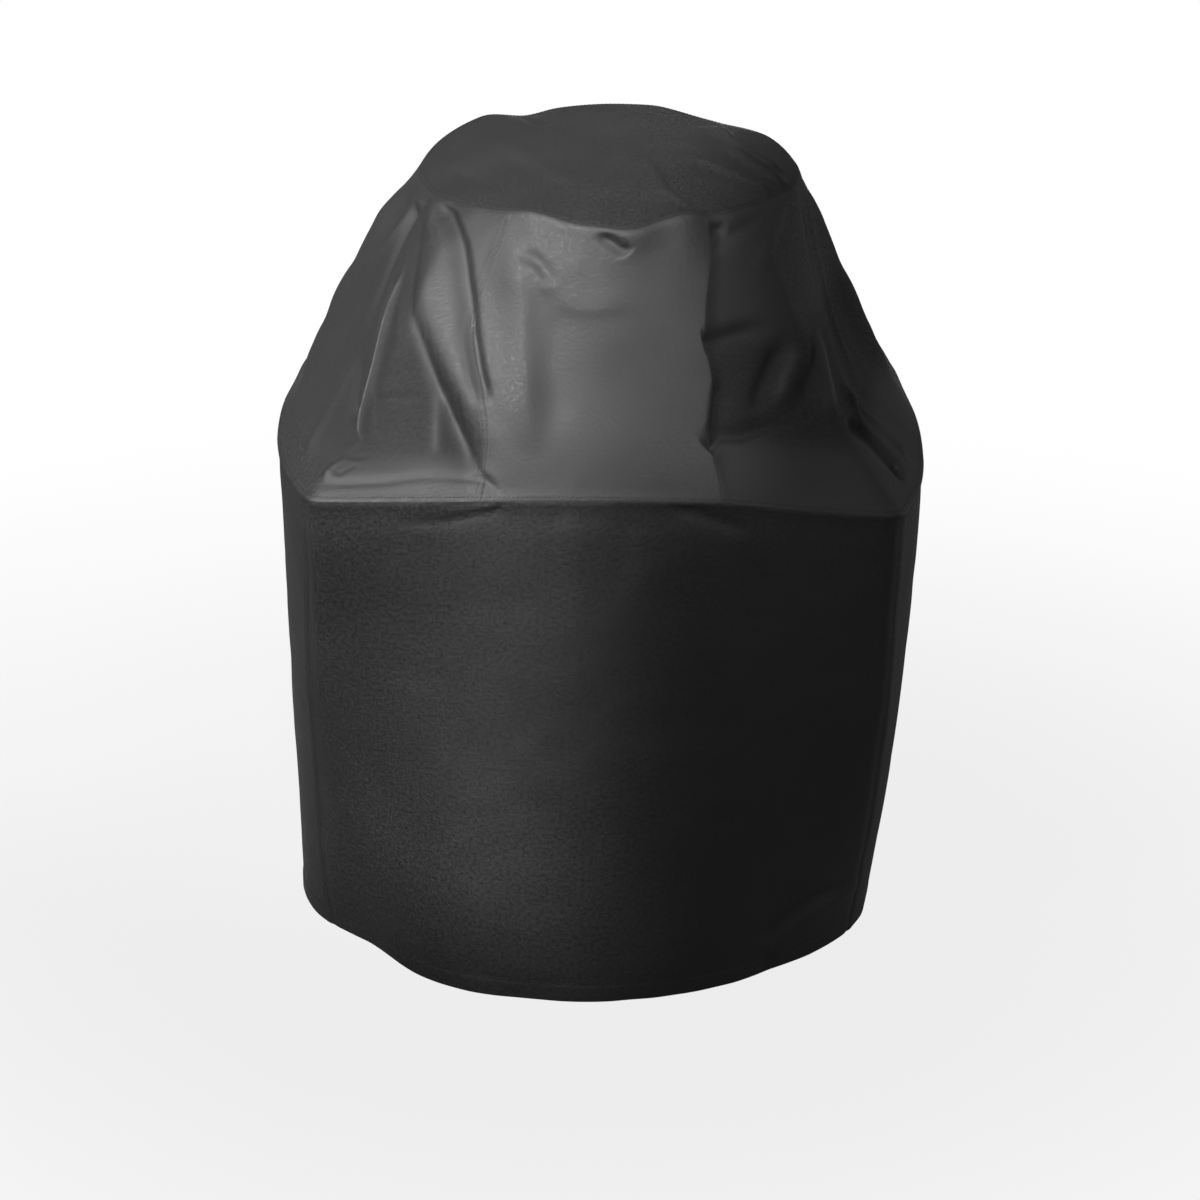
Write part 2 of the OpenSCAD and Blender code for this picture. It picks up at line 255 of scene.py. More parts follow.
# the front of the shoulder lies within straight lines, each at a bearing and a distance from the
# middle: its front and ends, two cuts on the left and two on the right
shoulderCuts = [
    (0, cover["shoulderDeep"] / 2),
    (-90, cover["shoulderWide"] / 2),
    (90, cover["shoulderWide"] / 2),
    (-66.1, 0.3908), (-80.2, 0.3597), (70.2, 0.3887), (81.9, 0.3611),
]


def shoulderRadius(th):
    total = 0
    for bearing, reach in shoulderCuts:
        near = np.maximum(0, np.cos(np.radians(th - bearing)) / reach)
        total = total + near ** cover["edgeSharp"]
    back = planRadius(th, cover["shoulderWide"], cover["shoulderDeep"], cover["backSquare"])
    front = np.where(total > 0, total, 1) ** (-1 / cover["edgeSharp"])
    fromEnd = np.abs(turned(th)) - cover["sideTrimAt"]
    trim = cover["sideTrim"] * bell(fromEnd, cover["sideTrimSpan"])
    return np.where(np.cos(np.radians(th)) > 0, front, back) * (1 - trim)


# how far the shoulder edge sits above or below its level, in millimetres, round the cover
shoulderRise = softCurve(
    [(-180, 0), (-135, 0), (-116, 0), (-104, 1), (-90, 5), (-70, 6), (-57, 3.5), (-45, -1),
     (-17, 0), (0, 0), (23, -2), (35, -10), (46, -18), (52, -17), (60, -14.5), (75, -10), (90, -11),
     (108, -13), (135, -9.7), (180, 0)],
    2.5, loop=True,
)


def shoulderHeight(th):
    return cover["shoulderHigh"] + shoulderRise(turned(th)) * millimetre


def hemRadius(th):
    return planRadius(th, cover["hemWide"], cover["hemDeep"], cover["hemSquare"])


def spotAt(th, r, z, shift):
    a = np.radians(th)
    return np.stack([r * np.sin(a) + shift, -r * np.cos(a), z + 0 * th], -1)


# columns fan out in their order round the cover, so that a seam meets its angle at each height
def fanned(col, seam, there):
    a = turned(col)
    b = np.abs(a)
    front, back = b * there / seam, 180 - (180 - b) * there / seam
    middle = 90 + (b - 90) * (90 - there) / (90 - seam)
    return np.sign(a) * np.where(b <= seam, front, np.where(b <= 180 - seam, middle, back))


# the right front seam wanders a little on its way down
rightSeam = softCurve(
    [(0, 29), (0.14, 28.3), (0.29, 25.0), (0.45, 23.0), (0.59, 24.0), (0.72, 22.4), (0.83, 21.6),
     (0.93, 22.3), (1, 22)],
    0.04,
)
# the left one dips into the valley beside the long fold
leftSeam = softCurve(
    [(0, 29), (0.12, 29.2), (0.25, 30.5), (0.36, 31.6), (0.44, 30.6), (0.5, 28.9), (0.56, 27.3),
     (0.64, 25), (0.7, 23.4), (0.8, 22.2), (1, 22)],
    0.03,
)


def slopeSeamAt(side, v):
    straight = mixed(cover["slopeSeamTop"], cover["slopeSeamFoot"], v)
    return np.where(np.abs(side) > 90, straight, np.where(side > 0, rightSeam(v), leftSeam(v)))


def slopeAngle(col, v):
    return fanned(col, cover["slopeSeamFoot"], slopeSeamAt(turned(col), v))


# the left front seam of the skirt runs straight down before it swings out to the hem
leftSkirtSeam = softCurve(
    [(0, 47), (0.14, 48.8), (0.287, 52.4), (0.47, 56), (0.66, 60.3), (0.85, 64.3), (1, 66)],
    0.04,
)


def skirtSeamAt(side, v):
    straight = mixed(cover["skirtSeamTop"], cover["skirtSeamFoot"], v)
    return np.where((side < 0) & (side >= -90), leftSkirtSeam(v), straight)


def skirtAngle(col, v):
    return fanned(col, cover["skirtSeamTop"], skirtSeamAt(turned(col), v))


# where round the shoulder a thread of the skirt starts: the front corners follow the seams down
def rimAngle(th, v):
    a = turned(th)
    b = np.abs(a)
    top, there = cover["skirtSeamTop"], skirtSeamAt(a, v)
    start = np.where(b <= there, b * top / there, 90 + (b - 90) * (90 - top) / (90 - there))
    return np.sign(a) * np.where(b < 90, start, b)


# crown edge: how far it sits above or below its level, in millimetres, round the cover
edgeRise = softCurve(
    [(-180, 9), (-172, 8), (-162, 6), (-157, 2), (-152, 0), (-146, 5), (-139, 11), (-130, 7),
     (-116, 0), (-101, -9), (-80, -10), (-64, -9), (-55, -7), (-37, -4), (-23, 2), (-17, -2),
     (-10, -8), (-3, -9), (6, -12), (12, -8), (23, 1), (30, -9), (37, -8), (61, -7), (85, -9),
     (105, -8), (112, -4), (122, 0), (140, -3), (150, 0), (158, 5), (164, 9), (176, 9), (180, 9)],
    2.2, loop=True,
)
# and how far it is pushed out
edgePush = softCurve(
    [(-180, 0), (-66, 0), (-60, 4), (-52, 0), (-12, 0), (-2, 4), (7, 9), (15, 1), (26, 2), (32, -5),
     (38, 1), (60, 0), (70, 4), (80, 0), (180, 0)],
    2.0, loop=True,
)

# hollows of the slope between two edges: depth, and its share across and down
leftHollow = {
    "near": softCurve([(0, -88), (1, -80)], 0.02),
    "far": softCurve([(0, -61), (0.083, -55.8), (0.21, -47.8), (0.343, -40.5), (0.485, -33.2),
        (0.635, -26.5), (0.785, -20.5), (0.863, -18), (1, -16.5)], 0.03),
    "across": softCurve([(0, 0), (0.15, 0.10), (0.35, 0.45), (0.52, 0.74), (0.6, 0.80),
        (0.64, 0.86), (0.72, 0.70), (0.79, 0.50), (0.83, 0.66), (0.865, 1), (0.9, 0.42),
        (0.93, 0.14), (0.96, 0.04), (1, 0)], 0.015),
    "down": softCurve([(0, 0), (0.15, 0.03), (0.3, 0.12), (0.45, 0.38), (0.6, 0.78), (0.72, 1),
        (0.8, 0.96), (0.86, 0.66), (0.9, 0.36), (0.95, 0.14), (1, 0)], 0.012),
    "depth": 0.024,
}
# on the right the cloth drops behind the seam, runs out to a ridge and turns round the end there
rightRidge = softCurve([(0, 72), (0.2, 66), (0.35, 62.5), (0.47, 60), (0.6, 57), (0.68, 56.5),
    (0.78, 59), (0.88, 61), (1, 62)], 0.03)
rightDown = softCurve([(0, 0), (0.12, 0.28), (0.25, 0.55), (0.4, 0.8), (0.55, 0.96), (0.66, 1),
    (0.735, 0.93), (0.79, 0.72), (0.9, 0.36), (1, 0)], 0.012)
rightHollow = {
    "near": rightSeam,
    "far": rightRidge,
    "across": softCurve([(0, 0), (0.04, 0.24), (0.1, 0.42), (0.2, 0.52), (0.35, 0.6), (0.6, 0.78),
        (1, 1)], 0.012),
    "down": rightDown,
    "depth": 0.026,
}
endHollow = {
    "near": rightRidge,
    "far": softCurve([(0, 122), (1, 116)], 0.02),
    "across": softCurve([(0, 1), (0.03, 1.18), (0.08, 1.36), (0.18, 1.45), (0.32, 1.28), (0.5, 0.9),
        (0.7, 0.42), (0.88, 0.1), (1, 0)], 0.012),
    "down": rightDown,
    "depth": 0.026,
}
# folds of the slope, as (angle, share of the way down), first the lines that are used twice
footLine = [(-46.2, 0.325), (-42.8, 0.408), (-39.2, 0.49), (-36, 0.588), (-34.2, 0.638),
    (-31.3, 0.713), (-28, 0.787), (-25, 0.858), (-21.5, 0.935), (-18.4, 0.985)]
hollowCrease = [(-60.5, 0.205), (-55.2, 0.292), (-53.8, 0.355), (-52.2, 0.415), (-51, 0.478),
    (-49.5, 0.545), (-48.5, 0.6), (-47.2, 0.67), (-46.2, 0.725), (-44.8, 0.797)]
hollowRib = [(-35.6, 0.6), (-33.6, 0.728), (-31.9, 0.85)]
endFan = [(-64.5, 0.02), (-69.5, 0.075), (-70.8, 0.158), (-72.5, 0.26), (-77.8, 0.393), (-81, 0.53)]
nearStreak = [(45, 0.42), (41.5, 0.507), (38.5, 0.583), (35.8, 0.663)]
farStreak = [(54, 0.40), (50.5, 0.50), (47.2, 0.60), (44, 0.68)]
slopeFolds = [
    # long fold from the crown's left end to the shoulder, its valley and the soft fold beyond it
    ([(-61, 0.0), (-55.8, 0.083), (-51, 0.143), (-47.8, 0.21), (-44.2, 0.275), (-40.5, 0.343),
     (-36.5, 0.413), (-33.2, 0.485), (-29.8, 0.56), (-26.5, 0.635), (-23.2, 0.71), (-20.5, 0.785),
     (-18, 0.863), (-17.2, 0.94), (-17.6, 0.99)], 4.5, (14, 30), (26, 44), 0.08, 0.22),
    ([(-59, 0.02), (-52.8, 0.035), (-48, 0.06), (-42.2, 0.12), (-38.5, 0.19), (-35.8, 0.26),
     (-33.2, 0.333), (-31.3, 0.408), (-29.2, 0.482), (-27.2, 0.557), (-25, 0.633), (-23.4, 0.685)],
     -6.5, (13, 10), 7, 0.1, 0.12),
    ([(-24.5, 0.64), (-23, 0.677), (-19.8, 0.748), (-17, 0.823), (-14.8, 0.893)],
     -0.8, 10, 9, 0.3, 0.3),
    ([(-27, 0.08), (-23.8, 0.19), (-21.5, 0.28), (-19.8, 0.395), (-18.2, 0.512), (-16.8, 0.628),
     (-15, 0.745), (-12.8, 0.86)], 5, 22, 14, 0.2, 0.3),
    ([(-12, 0.24), (-11, 0.50), (-8.5, 0.80)], -2.2, 14, 18, 0.3, 0.3),
    ([(-25.2, 0.17), (-21.8, 0.158), (-18.5, 0.17), (-15.8, 0.212), (-14, 0.26)],
     -2.2, 6, 8, 0.3, 0.3),
    ([(-22, 0.18), (-18, 0.215), (-15.8, 0.253), (-14, 0.30)], 1.6, 8, 8, 0.3, 0.4),
    ([(-13, 0.285), (-12.2, 0.297), (-5.8, 0.328), (3, 0.315), (10, 0.30)], 1.0, 8, 20, 0.2, 0.4),
    # foot of the long fold, and the creases in the left hollow
    (footLine, -1.5, (8, 16), 5, 0.35, 0.06, 1),
    (hollowCrease, 9, 5, 5, 0.4, 0.08, 1),
    ([(-46, 0.6), (-45.4, 0.66), (-44.4, 0.73), (-43.4, 0.8)], -6, 4, 10, 0.35, 0.25),
    ([(-57, 0.3), (-55, 0.393), (-53.2, 0.475), (-50.9, 0.545)], -4.5, 7, 4, 0.3, 0.3),
    ([(-52.5, 0.7), (-49.5, 0.72), (-47.2, 0.75), (-45.2, 0.79)], -8, 8, 8, 0.4, 0.1),
    ([(-44, 0.805), (-43, 0.85)], -4, 6, 6, 0.4, 0.4),
    ([(-44.3, 0.835), (-45.2, 0.88), (-45.9, 0.93)], 3.5, 4, 4, 0.3, 0.3),
    ([(-43.4, 0.85), (-44.5, 0.91)], -3, 4, 4, 0.3, 0.3),
    ([(-51.5, 0.345), (-48, 0.42), (-45.8, 0.473)], 2.2, 5, 6, 0.3, 0.3),
    ([(-46, 0.487), (-43.5, 0.573)], 2.0, 8, 8, 0.3, 0.3),
    (hollowRib, 3.0, 5, 6, 0.3, 0.2),
    ([(-56, 0.56), (-52.5, 0.66), (-48.5, 0.75)], -4.5, 9, 9, 0.3, 0.2),
    ([(-47, 0.642), (-42.2, 0.638), (-35.8, 0.64)], -1.8, 4, 4, 0.3, 0.3),
    ([(-46, 0.955), (-43.8, 0.938), (-37.8, 0.93), (-33.2, 0.915), (-28.2, 0.917), (-22.2, 0.93),
     (-19, 0.965)], -1.8, 4, 6, 0.12, 0.12),
    # folds that fan out over the left end
    (endFan, 5, 9, 8, 0.1, 0.45),
    ([(-67, 0.05), (-66, 0.195), (-62, 0.367), (-61, 0.468), (-60, 0.56)], -5, 7, 7, 0.1, 0.3),
    ([(-58, 0.55), (-57.5, 0.70), (-56, 0.83), (-52, 0.93)], 4, 8, 6, 0.3, 0.2),
    ([(-88, 0.02), (-87, 0.2), (-86, 0.4), (-85, 0.62), (-84, 0.86)], 8, 30, 30, 0.15, 0.25),
    ([(-88, 0.06), (-87, 0.25), (-86, 0.45), (-85.5, 0.64)], 9.5, 30, 30, 0.3, 0.35),
    ([(-85, 0.40), (-84, 0.62), (-83, 0.9)], 8, 26, 26, 0.35, 0.3),
    # creases behind the right front seam
    ([(22.7, 0.453), (29.1, 0.427), (35.1, 0.403), (42, 0.385)], -7, 10, 9, 0.04, 0.5),
    ([(25.6, 0.56), (24.2, 0.65), (22.4, 0.78)], -6, 5, 12, 0.3, 0.2),
    ([(21.6, 0.823), (24.7, 0.775), (29.1, 0.762), (31.7, 0.738), (35.5, 0.712), (41, 0.69)],
     -7.5, 4, 12, 0.03, 0.4),
    ([(43.5, 0.41), (39.2, 0.49), (36.7, 0.547), (34.4, 0.607), (32.4, 0.697)],
     -7, 9, 10, 0.3, 0.25),
    (nearStreak, 5.5, 8, 9, 0.3, 0.3),
    ([(50, 0.42), (46.2, 0.50), (43.6, 0.57), (40.5, 0.65)], -5, 7, 7, 0.35, 0.35),
    (farStreak, 5.5, 9, 10, 0.35, 0.35),
    ([(53, 0.607), (58, 0.70), (61, 0.79), (62, 0.87), (61, 0.94)], 6, 8, 9, 0.2, 0.12),
    ([(48, 0.68), (52, 0.74), (54, 0.80), (54.8, 0.86), (56, 0.93)], -10, 11, 6, 0.25, 0.05),
    ([(41.7, 0.803), (47.3, 0.84), (52.6, 0.905)], 1.2, 5, 5, 0.3, 0.3),
    ([(56, 0.62), (54.8, 0.71), (55.5, 0.80)], 2.0, 5, 5, 0.3, 0.3),
    ([(76, 0.05), (72.5, 0.22), (65, 0.41), (62, 0.58)], 3.0, 8, 8, 0.15, 0.3),
    ([(84, 0.05), (80, 0.30), (75, 0.55), (76, 0.75)], 2.6, 9, 8, 0.15, 0.3),
    ([(62.5, 0.02), (46.2, 0.14), (38, 0.25)], 2.0, 8, 8, 0.15, 0.4),
    ([(49.2, 0.02), (32.5, 0.10), (27.2, 0.18)], -2.4, 8, 8, 0.1, 0.35),
    # marks under the crown's front edge
    ([(-4.4, 0.026), (0.2, 0.048), (6.2, 0.108)], -4.8, 9, 7, 0.35, 0.2),
    ([(28.5, 0.055), (36.5, 0.052)], -5.0, 8, 8, 0.4, 0.4),
]
# the back has the front's folds, turned half round and lower, and the folds of each half run on
# past the ends, to so many degrees from its middle
backShare = 0.55
halfReach = 124


# a point of the slope when the slope is laid flat
def flatSlope(th, v):
    return np.radians(th) * (crownRadius + slopeSpread * v), slopeLength * v


def hollowDepth(hollow, th, v):
    near, far = hollow["near"](v), hollow["far"](v)
    t = (th - near) / (far - near)
    depth = hollow["depth"] * hollow["across"](np.clip(t, 0, 1)) * hollow["down"](v)
    return np.where((t > 0) & (t < 1), depth, 0)


# relief of one half of the slope, front or back
def halfRelief(th, v):
    folds = strokeHeights(slopeFolds, th, v, flatSlope)
    hollows = sum(hollowDepth(h, th, v) for h in (leftHollow, rightHollow, endHollow))
    return folds * between(v, 0.05, 0.03) - hollows


# foot of the long fold: left of it the cloth lies in the hollow
foldFoot = softCurve(
    [(0, -66), (0.1, -60), (0.2, -53.5), *((v, th) for th, v in footLine[:-1]), (1, -18)], 0.03,
)
# creases whose tops are left out of the painted shade, so that they show as painted highlights
# along the crests
paintedLitCrests = [
    (hollowCrease, 1000, 5, 3, 0.3, 0.1),
    (endFan[1:5], 800, 8, 5, 0.2, 0.3),
    (hollowRib, 600, 5, 4, 0.3, 0.2),
    (nearStreak, 600, 7, 7, 0.3, 0.3),
    (farStreak, 800, 9, 9, 0.3, 0.3),
]
# painted shade (a darker colour, with a rougher surface) down the slope on the left and on the
# right, the degrees over which it comes in there, and those where the back's takes over
shadeAndDullLeft = softCurve([(0, 0.2), (0.3, 0.8), (0.5, 1), (0.82, 1), (0.9, 0.1), (1, 0)], 0.02)
shadeAndDullRight = softCurve([(0, 0.4), (0.36, 0.4), (0.46, 1), (0.74, 1), (0.8, 0.4), (1, 0.3)], 0.02)
shadeAndDullSoft = {"left": 3, "right": 1.5, "backFrom": 80, "backOver": 20}


# painted shade: left of the long fold's foot and right of the right front seam the colour is
# darkened and the surface made rougher, most of all down in the hollows, where shade falls
def shadeAndDullHalf(th, v):
    left = ease((foldFoot(v) - th) / shadeAndDullSoft["left"]) * shadeAndDullLeft(v)
    right = ease((th - rightSeam(v)) / shadeAndDullSoft["right"]) * shadeAndDullRight(v)
    # painted highlight: the painted shade is taken off along the crests of these creases
    paintedCrestLight = strokeHeights(paintedLitCrests, th, v, flatSlope)
    return np.maximum(left, right) * (1 - np.clip(paintedCrestLight, 0, 1))


# painted shade and dullness at a point of the slope, the back half's taking over behind
def paintedShadeAndDullness(col, v):
    th = slopeAngle(col, v)
    behind = ease((np.abs(th) - shadeAndDullSoft["backFrom"]) / shadeAndDullSoft["backOver"])
    return mixed(shadeAndDullHalf(th, v), shadeAndDullHalf(turned(th - 180), v), behind)


# flat-felled seam: the cloth doubles for a few millimetres on one side of the seam line, and on the
# skirt it dips on the other side
felled = {
    "high": 0.0003, "wide": 0.0085, "step": 0.0016, "groove": 0.0001, "reach": 6,
    "dip": 0.0008, "dipAt": 0.003, "dipWide": 0.004,
}


def felledHeight(e):
    fold = ease(e / felled["step"]) * (1 - ease((e - felled["wide"]) / (2 * felled["step"])))
    return felled["high"] * fold - felled["groove"] * bell(e, felled["step"])


# degrees from the middle of the front, or of the back for what lies behind
def fromMiddle(angle, behind):
    return np.where(behind, 180 - np.abs(angle), np.abs(angle))


# distance on the cloth past the seam of a column, and whether the column is near that seam
def pastSeam(col, th, seamCol, seamTh, radius):
    behind = np.abs(turned(col)) > 90
    near = np.abs(fromMiddle(turned(col), behind) - seamCol) < felled["reach"]
    return np.radians(fromMiddle(th, behind) - seamTh) * radius, near


def slopeSeamRelief(col, th, v):
    radius = mixed(crownRadius, shoulderRadius(th), v)
    seamTh = slopeSeamAt(turned(col), v)
    e, near = pastSeam(col, th, cover["slopeSeamFoot"], seamTh, radius)
    return np.where(near, felledHeight(e), 0) * between(v, 0.02, 0.015)


# run, drop and length of the straight line from the crown edge to the shoulder edge
def slopeLine(th):
    run = shoulderRadius(th) - crownRadius
    drop = cover["crownHigh"] - shoulderHeight(th)
    return run, drop, np.hypot(run, drop)


# the way, out and up, in which rounding moves the crown edge and the shoulder edge: the sum of the
# two directions that leave the edge
def crownPull(th):
    run, drop, size = slopeLine(th)
    return -1 + run / size, 2 * cover["crownRise"] / crownRadius - drop / size


def shoulderPull(th):
    run, drop, size = slopeLine(th)
    inset, height = hemRadius(th) - shoulderRadius(th), shoulderHeight(th)
    fall = np.hypot(inset, height)
    return -run / size + inset / fall, drop / size - height / fall


def crownEdge(th):
    return edgePush(th) * millimetre, edgeRise(th) * millimetre


# folds of the crown, as (x, y) in metres
crownFolds = [
    ([(0.100, 0.120), (0.122, 0.079), (0.144, 0.012), (0.185, -0.034)], 8, 9, 7, 0.3, 0.15),
    ([(0.125, 0.030), (0.136, -0.002), (0.164, -0.053), (0.192, -0.085)], 8, 9, 7, 0.3, 0.1),
    ([(0.075, -0.020), (0.090, -0.036), (0.135, -0.073), (0.180, -0.107)], 6, 9, 8, 0.3, 0.15),
    ([(0.035, -0.031), (0.048, -0.090), (0.060, -0.140), (0.091, -0.180)], 4, 8, 8, 0.3, 0.2),
    ([(-0.120, 0.060), (-0.090, -0.020), (-0.056, -0.083), (-0.020, -0.140)],
     2.8, 16, 12, 0.3, 0.3),
    ([(-0.170, -0.020), (-0.130, -0.090), (-0.080, -0.150)], -1.6, 12, 12, 0.3, 0.3),
    ([(0.000, 0.120), (0.020, 0.020), (0.024, -0.096)], 2.2, 22, 18, 0.3, 0.3),
    ([(-0.080, 0.165), (-0.060, 0.080)], -3.0, 14, 14, 0.05, 0.6),
]


def crownSpot(col, u):
    th = slopeAngle(col, 0 * u)
    push, rise = crownEdge(th)
    r = crownRadius * u
    a = np.radians(th)
    calm = 1 - ease((u - cover["crownCalm"]) / (1 - cover["crownCalm"]))
    folds = strokeHeights(crownFolds, r * np.sin(a), -r * np.cos(a), lambda x, y: (x, y))
    lumps = folds * calm + uneven("crown", th, u) * calm * ease(2 * u)
    z = cover["crownHigh"] + cover["crownRise"] * (1 - u * u) + lumps + rise * u ** 4
    pull = roundOff(crownRadius * (1 - u), cover["crownRound"])
    pullR, pullZ = crownPull(th)
    return spotAt(th, r + push * u ** 6 + pull * pullR, z + pull * pullZ, cover["crownDrift"])


def slopeSpot(col, v):
    th = slopeAngle(col, v)
    run, drop, size = slopeLine(th)
    lift = np.where(np.abs(th) < halfReach, halfRelief(th, v), 0)
    behind = backShare * halfRelief(turned(th - 180), v)
    lift = lift + np.where(np.abs(th) > 180 - halfReach, behind, 0)
    lift = lift + between(v, 0.06, 0.05) * uneven("slope", th, v) + slopeSeamRelief(col, th, v)
    push, rise = crownEdge(th)
    away = (1 - ease(v / cover["edgeReach"])) * (1 - v)
    r = crownRadius + run * v + lift * drop / size + push * away ** 2
    z = cover["crownHigh"] - drop * v + lift * run / size + rise * away
    pull = roundOff(size * v, cover["crownRound"])
    pullR, pullZ = crownPull(th)
    foot = roundOff(size * (1 - v), cover["shoulderRound"])
    footR, footZ = shoulderPull(th)
    lip = cover["shoulderLip"] * bell(size * (1 - v), cover["lipWide"])
    return spotAt(th, r + pull * pullR + foot * footR + lip, z + pull * pullZ + foot * footZ,
                  cover["crownDrift"] * (1 - v))


# skirt: flats as (angle at the top, at the foot, width, depth), and folds from the shoulder to the
# hem, as (angle, share of the way down)
skirtFlats = [(-47, -53, 15, -0.024), (50, 40, 10, -0.006), (62, 66, 12, 0.006), (166, 166, 7,
    -0.006), (196, 194, 7, -0.006)]
skirtFolds = [
    ([(-36.5, 0.036), (-31.3, 0.040), (-27.7, 0.037), (-23.7, 0.027), (-20.6, 0.020),
     (-17.8, 0.012)], -2.4, 7, 3, 0.3, 0.1, 1),
    ([(-30, 0.022), (-25, 0.016), (-19, 0.008)], 1.4, 5, 5, 0.3, 0.2),
    ([(12, 0.012), (17.5, 0.02), (25, 0.047), (28.8, 0.063)], -2.6, 7, 8, 0.3, 0.3),
    ([(29, 0.07), (31.3, 0.18), (33.5, 0.30)], -1.4, 14, 14, 0.3, 0.4),
    ([(-28, 0.46), (-30.8, 0.65), (-32, 0.80)], 1.3, 9, 6, 0.3, 0.3),
    ([(-37, 0.66), (-37.5, 0.94)], -1.6, 16, 12, 0.3, 0.1),
    ([(39, 0.985), (44, 0.93), (51, 0.90), (68, 0.86)], 3.6, 16, 11, 0.1, 0.4),
    ([(37, 0.93), (41, 0.905), (46.6, 0.877), (53.8, 0.862), (62, 0.85)], -3.2, 12, 9, 0.15, 0.4),
    ([(50, 0.20), (54, 0.40), (60, 0.62)], 1.6, 14, 14, 0.3, 0.3),
    ([(-8, 0.02), (-4, 0.10), (-2, 0.22)], 1.5, 16, 16, 0.2, 0.6),
    ([(6, 0.02), (5, 0.12), (1, 0.24)], -1.4, 14, 14, 0.2, 0.6),
    ([(-49.5, 0.08), (-53, 0.40), (-57.5, 0.62), (-63, 0.86)], -2.2, 9, 12, 0.2, 0.2),
    ([(-20, 0.60), (-12, 0.80), (-9, 0.98)], 1.2, 24, 24, 0.4, 0.1),
    ([(16, 0.55), (20, 0.80), (18, 0.98)], 1.4, 26, 26, 0.4, 0.1),
    ([(-80, 0.05), (-84, 0.40), (-82, 0.80)], 2.0, 22, 22, 0.3, 0.3),
    ([(-100, 0.10), (-104, 0.50), (-100, 0.95)], 2.4, 24, 24, 0.3, 0.2),
    ([(84, 0.20), (88, 0.60), (86, 0.98)], 2.0, 24, 24, 0.3, 0.2),
    ([(104, 0.05), (100, 0.45), (103, 0.75)], -2.0, 22, 22, 0.3, 0.3),
]
backSkirtFolds = [
    ([(-36, 0.04), (-24, 0.05), (-14, 0.02)], -3.2, 10, 8, 0.3, 0.3),
    ([(14, 0.02), (24, 0.04), (34, 0.05)], -3.2, 8, 10, 0.3, 0.3),
    ([(-26, 0.10), (-22, 0.35), (-24, 0.60)], 2.0, 20, 20, 0.3, 0.4),
    ([(10, 0.40), (6, 0.70), (8, 0.98)], 2.0, 22, 22, 0.4, 0.1),
    ([(26, 0.12), (30, 0.35), (27, 0.62)], -1.8, 18, 18, 0.3, 0.3),
]
# line of stitching that holds the turned-up hem
hemFold = {
    "proud": 0.0007, "stitchHigh": 0.019, "blend": 0.003, "groove": 0.0006, "grooveWide": 0.0018,
}
# part of the skirt under the straps, in degrees and in shares of the way down
underStraps = {
    "at": 128, "half": 18, "soft": 5, "shareAt": 0.85, "shareHalf": 0.06, "shareSoft": 0.04,
}


# a point of the skirt when the skirt is laid flat
def flatSkirt(th, v):
    return np.radians(th) * skirtRadius, cover["shoulderHigh"] * v


def skirtSeamRelief(col, th, v):
    seamTh = skirtSeamAt(turned(col), v)
    e, near = pastSeam(col, th, cover["skirtSeamTop"], seamTh, skirtRadius)
    dip = felled["dip"] * bell(e + felled["dipAt"], felled["dipWide"])
    return np.where(near, felledHeight(e) - dip, 0) * ease(v / 0.015)


def skirtRelief(th, v):
    out = cover["skirtBulge"] * np.maximum(0, np.sin(np.radians(th))) ** 4 * np.sin(np.pi * v)
    for top, foot, wide, depth in skirtFlats:
        out = out + depth * v ** 1.5 * bell(turned(th - mixed(top, foot, v)), wide)
    calm = ease(v / 0.012)
    front = strokeHeights(skirtFolds, th, v, flatSkirt)
    back = strokeHeights(backSkirtFolds, turned(th - 180), v, flatSkirt)
    quiet = calm * (1 - strapCalm(th, v))
    return out + calm * (front + back) + quiet * uneven("skirt", th, v)


# the skirt lies flat under the straps
def strapCalm(th, v):
    across = np.abs(np.abs(th) - underStraps["at"]) - underStraps["half"]
    down = np.abs(v - underStraps["shareAt"]) - underStraps["shareHalf"]
    flat = bell(np.maximum(0, across), underStraps["soft"])
    return flat * bell(np.maximum(0, down), underStraps["shareSoft"])


def skirtSpot(col, v):
    th = skirtAngle(col, v)
    return skirtFace(th, v, skirtSeamRelief(col, th, v))


def skirtFace(th, v, extra=0.0):
    top = rimAngle(th, v)
    rim, foot = shoulderRadius(top), hemRadius(th)
    height = shoulderHeight(top)
    down = height * v
    up = height * (1 - v)
    fromStitch = up - hemFold["stitchHigh"]
    turnUp = hemFold["proud"] * (1 - ease(fromStitch / hemFold["blend"]))
    turnUp = turnUp - hemFold["groove"] * bell(fromStitch, hemFold["grooveWide"])
    lip = cover["shoulderLip"] * bell(down, cover["lipWide"])
    lip = lip - cover["shoulderDip"] * bell(down - cover["dipAt"], cover["dipWide"])
    pull = roundOff(down, cover["shoulderRound"])
    pullR, pullZ = shoulderPull(th)
    r = mixed(rim, foot, v) + skirtRelief(th, v) + extra + turnUp + lip
    return spotAt(th, r + pull * pullR, up + pull * pullZ, -cover["hemDrift"] * v)


# the way in from the outer face of the crown, the slope or the skirt, from two short steps on it
def inwardAt(spot, col, share, turn=0.3, step=0.004):
    across = spot(col + turn, share) - spot(col - turn, share)
    low, high = np.clip(share - step, 0, 1), np.clip(share + step, 0, 1)
    return unit(np.cross(across, spot(col, high) - spot(col, low)))


print("cover: shape ready")


# columns round the cover in degrees, closer together beside the seams
columns = {
    "step": 0.5, "fineStep": 0.15, "fineReach": 2.4, "clear": 2.45,
    "seams": (-158, -133, -47, -22, 22, 47, 133, 158),
}


def columnsBetween(start, stop, slack=1e-6):
    base = np.arange(-720, 720) * columns["step"]
    reach = columns["fineReach"]
    fine = np.arange(-reach, reach + 0.01, columns["fineStep"])
    for s in (seam + turn for seam in columns["seams"] for turn in (-360, 0, 360)):
        base = np.concatenate([base[np.abs(base - s) > columns["clear"]], s + fine])
    base = np.unique(np.round(base, 4))
    return base[(base >= start - slack) & (base <= stop + slack)]


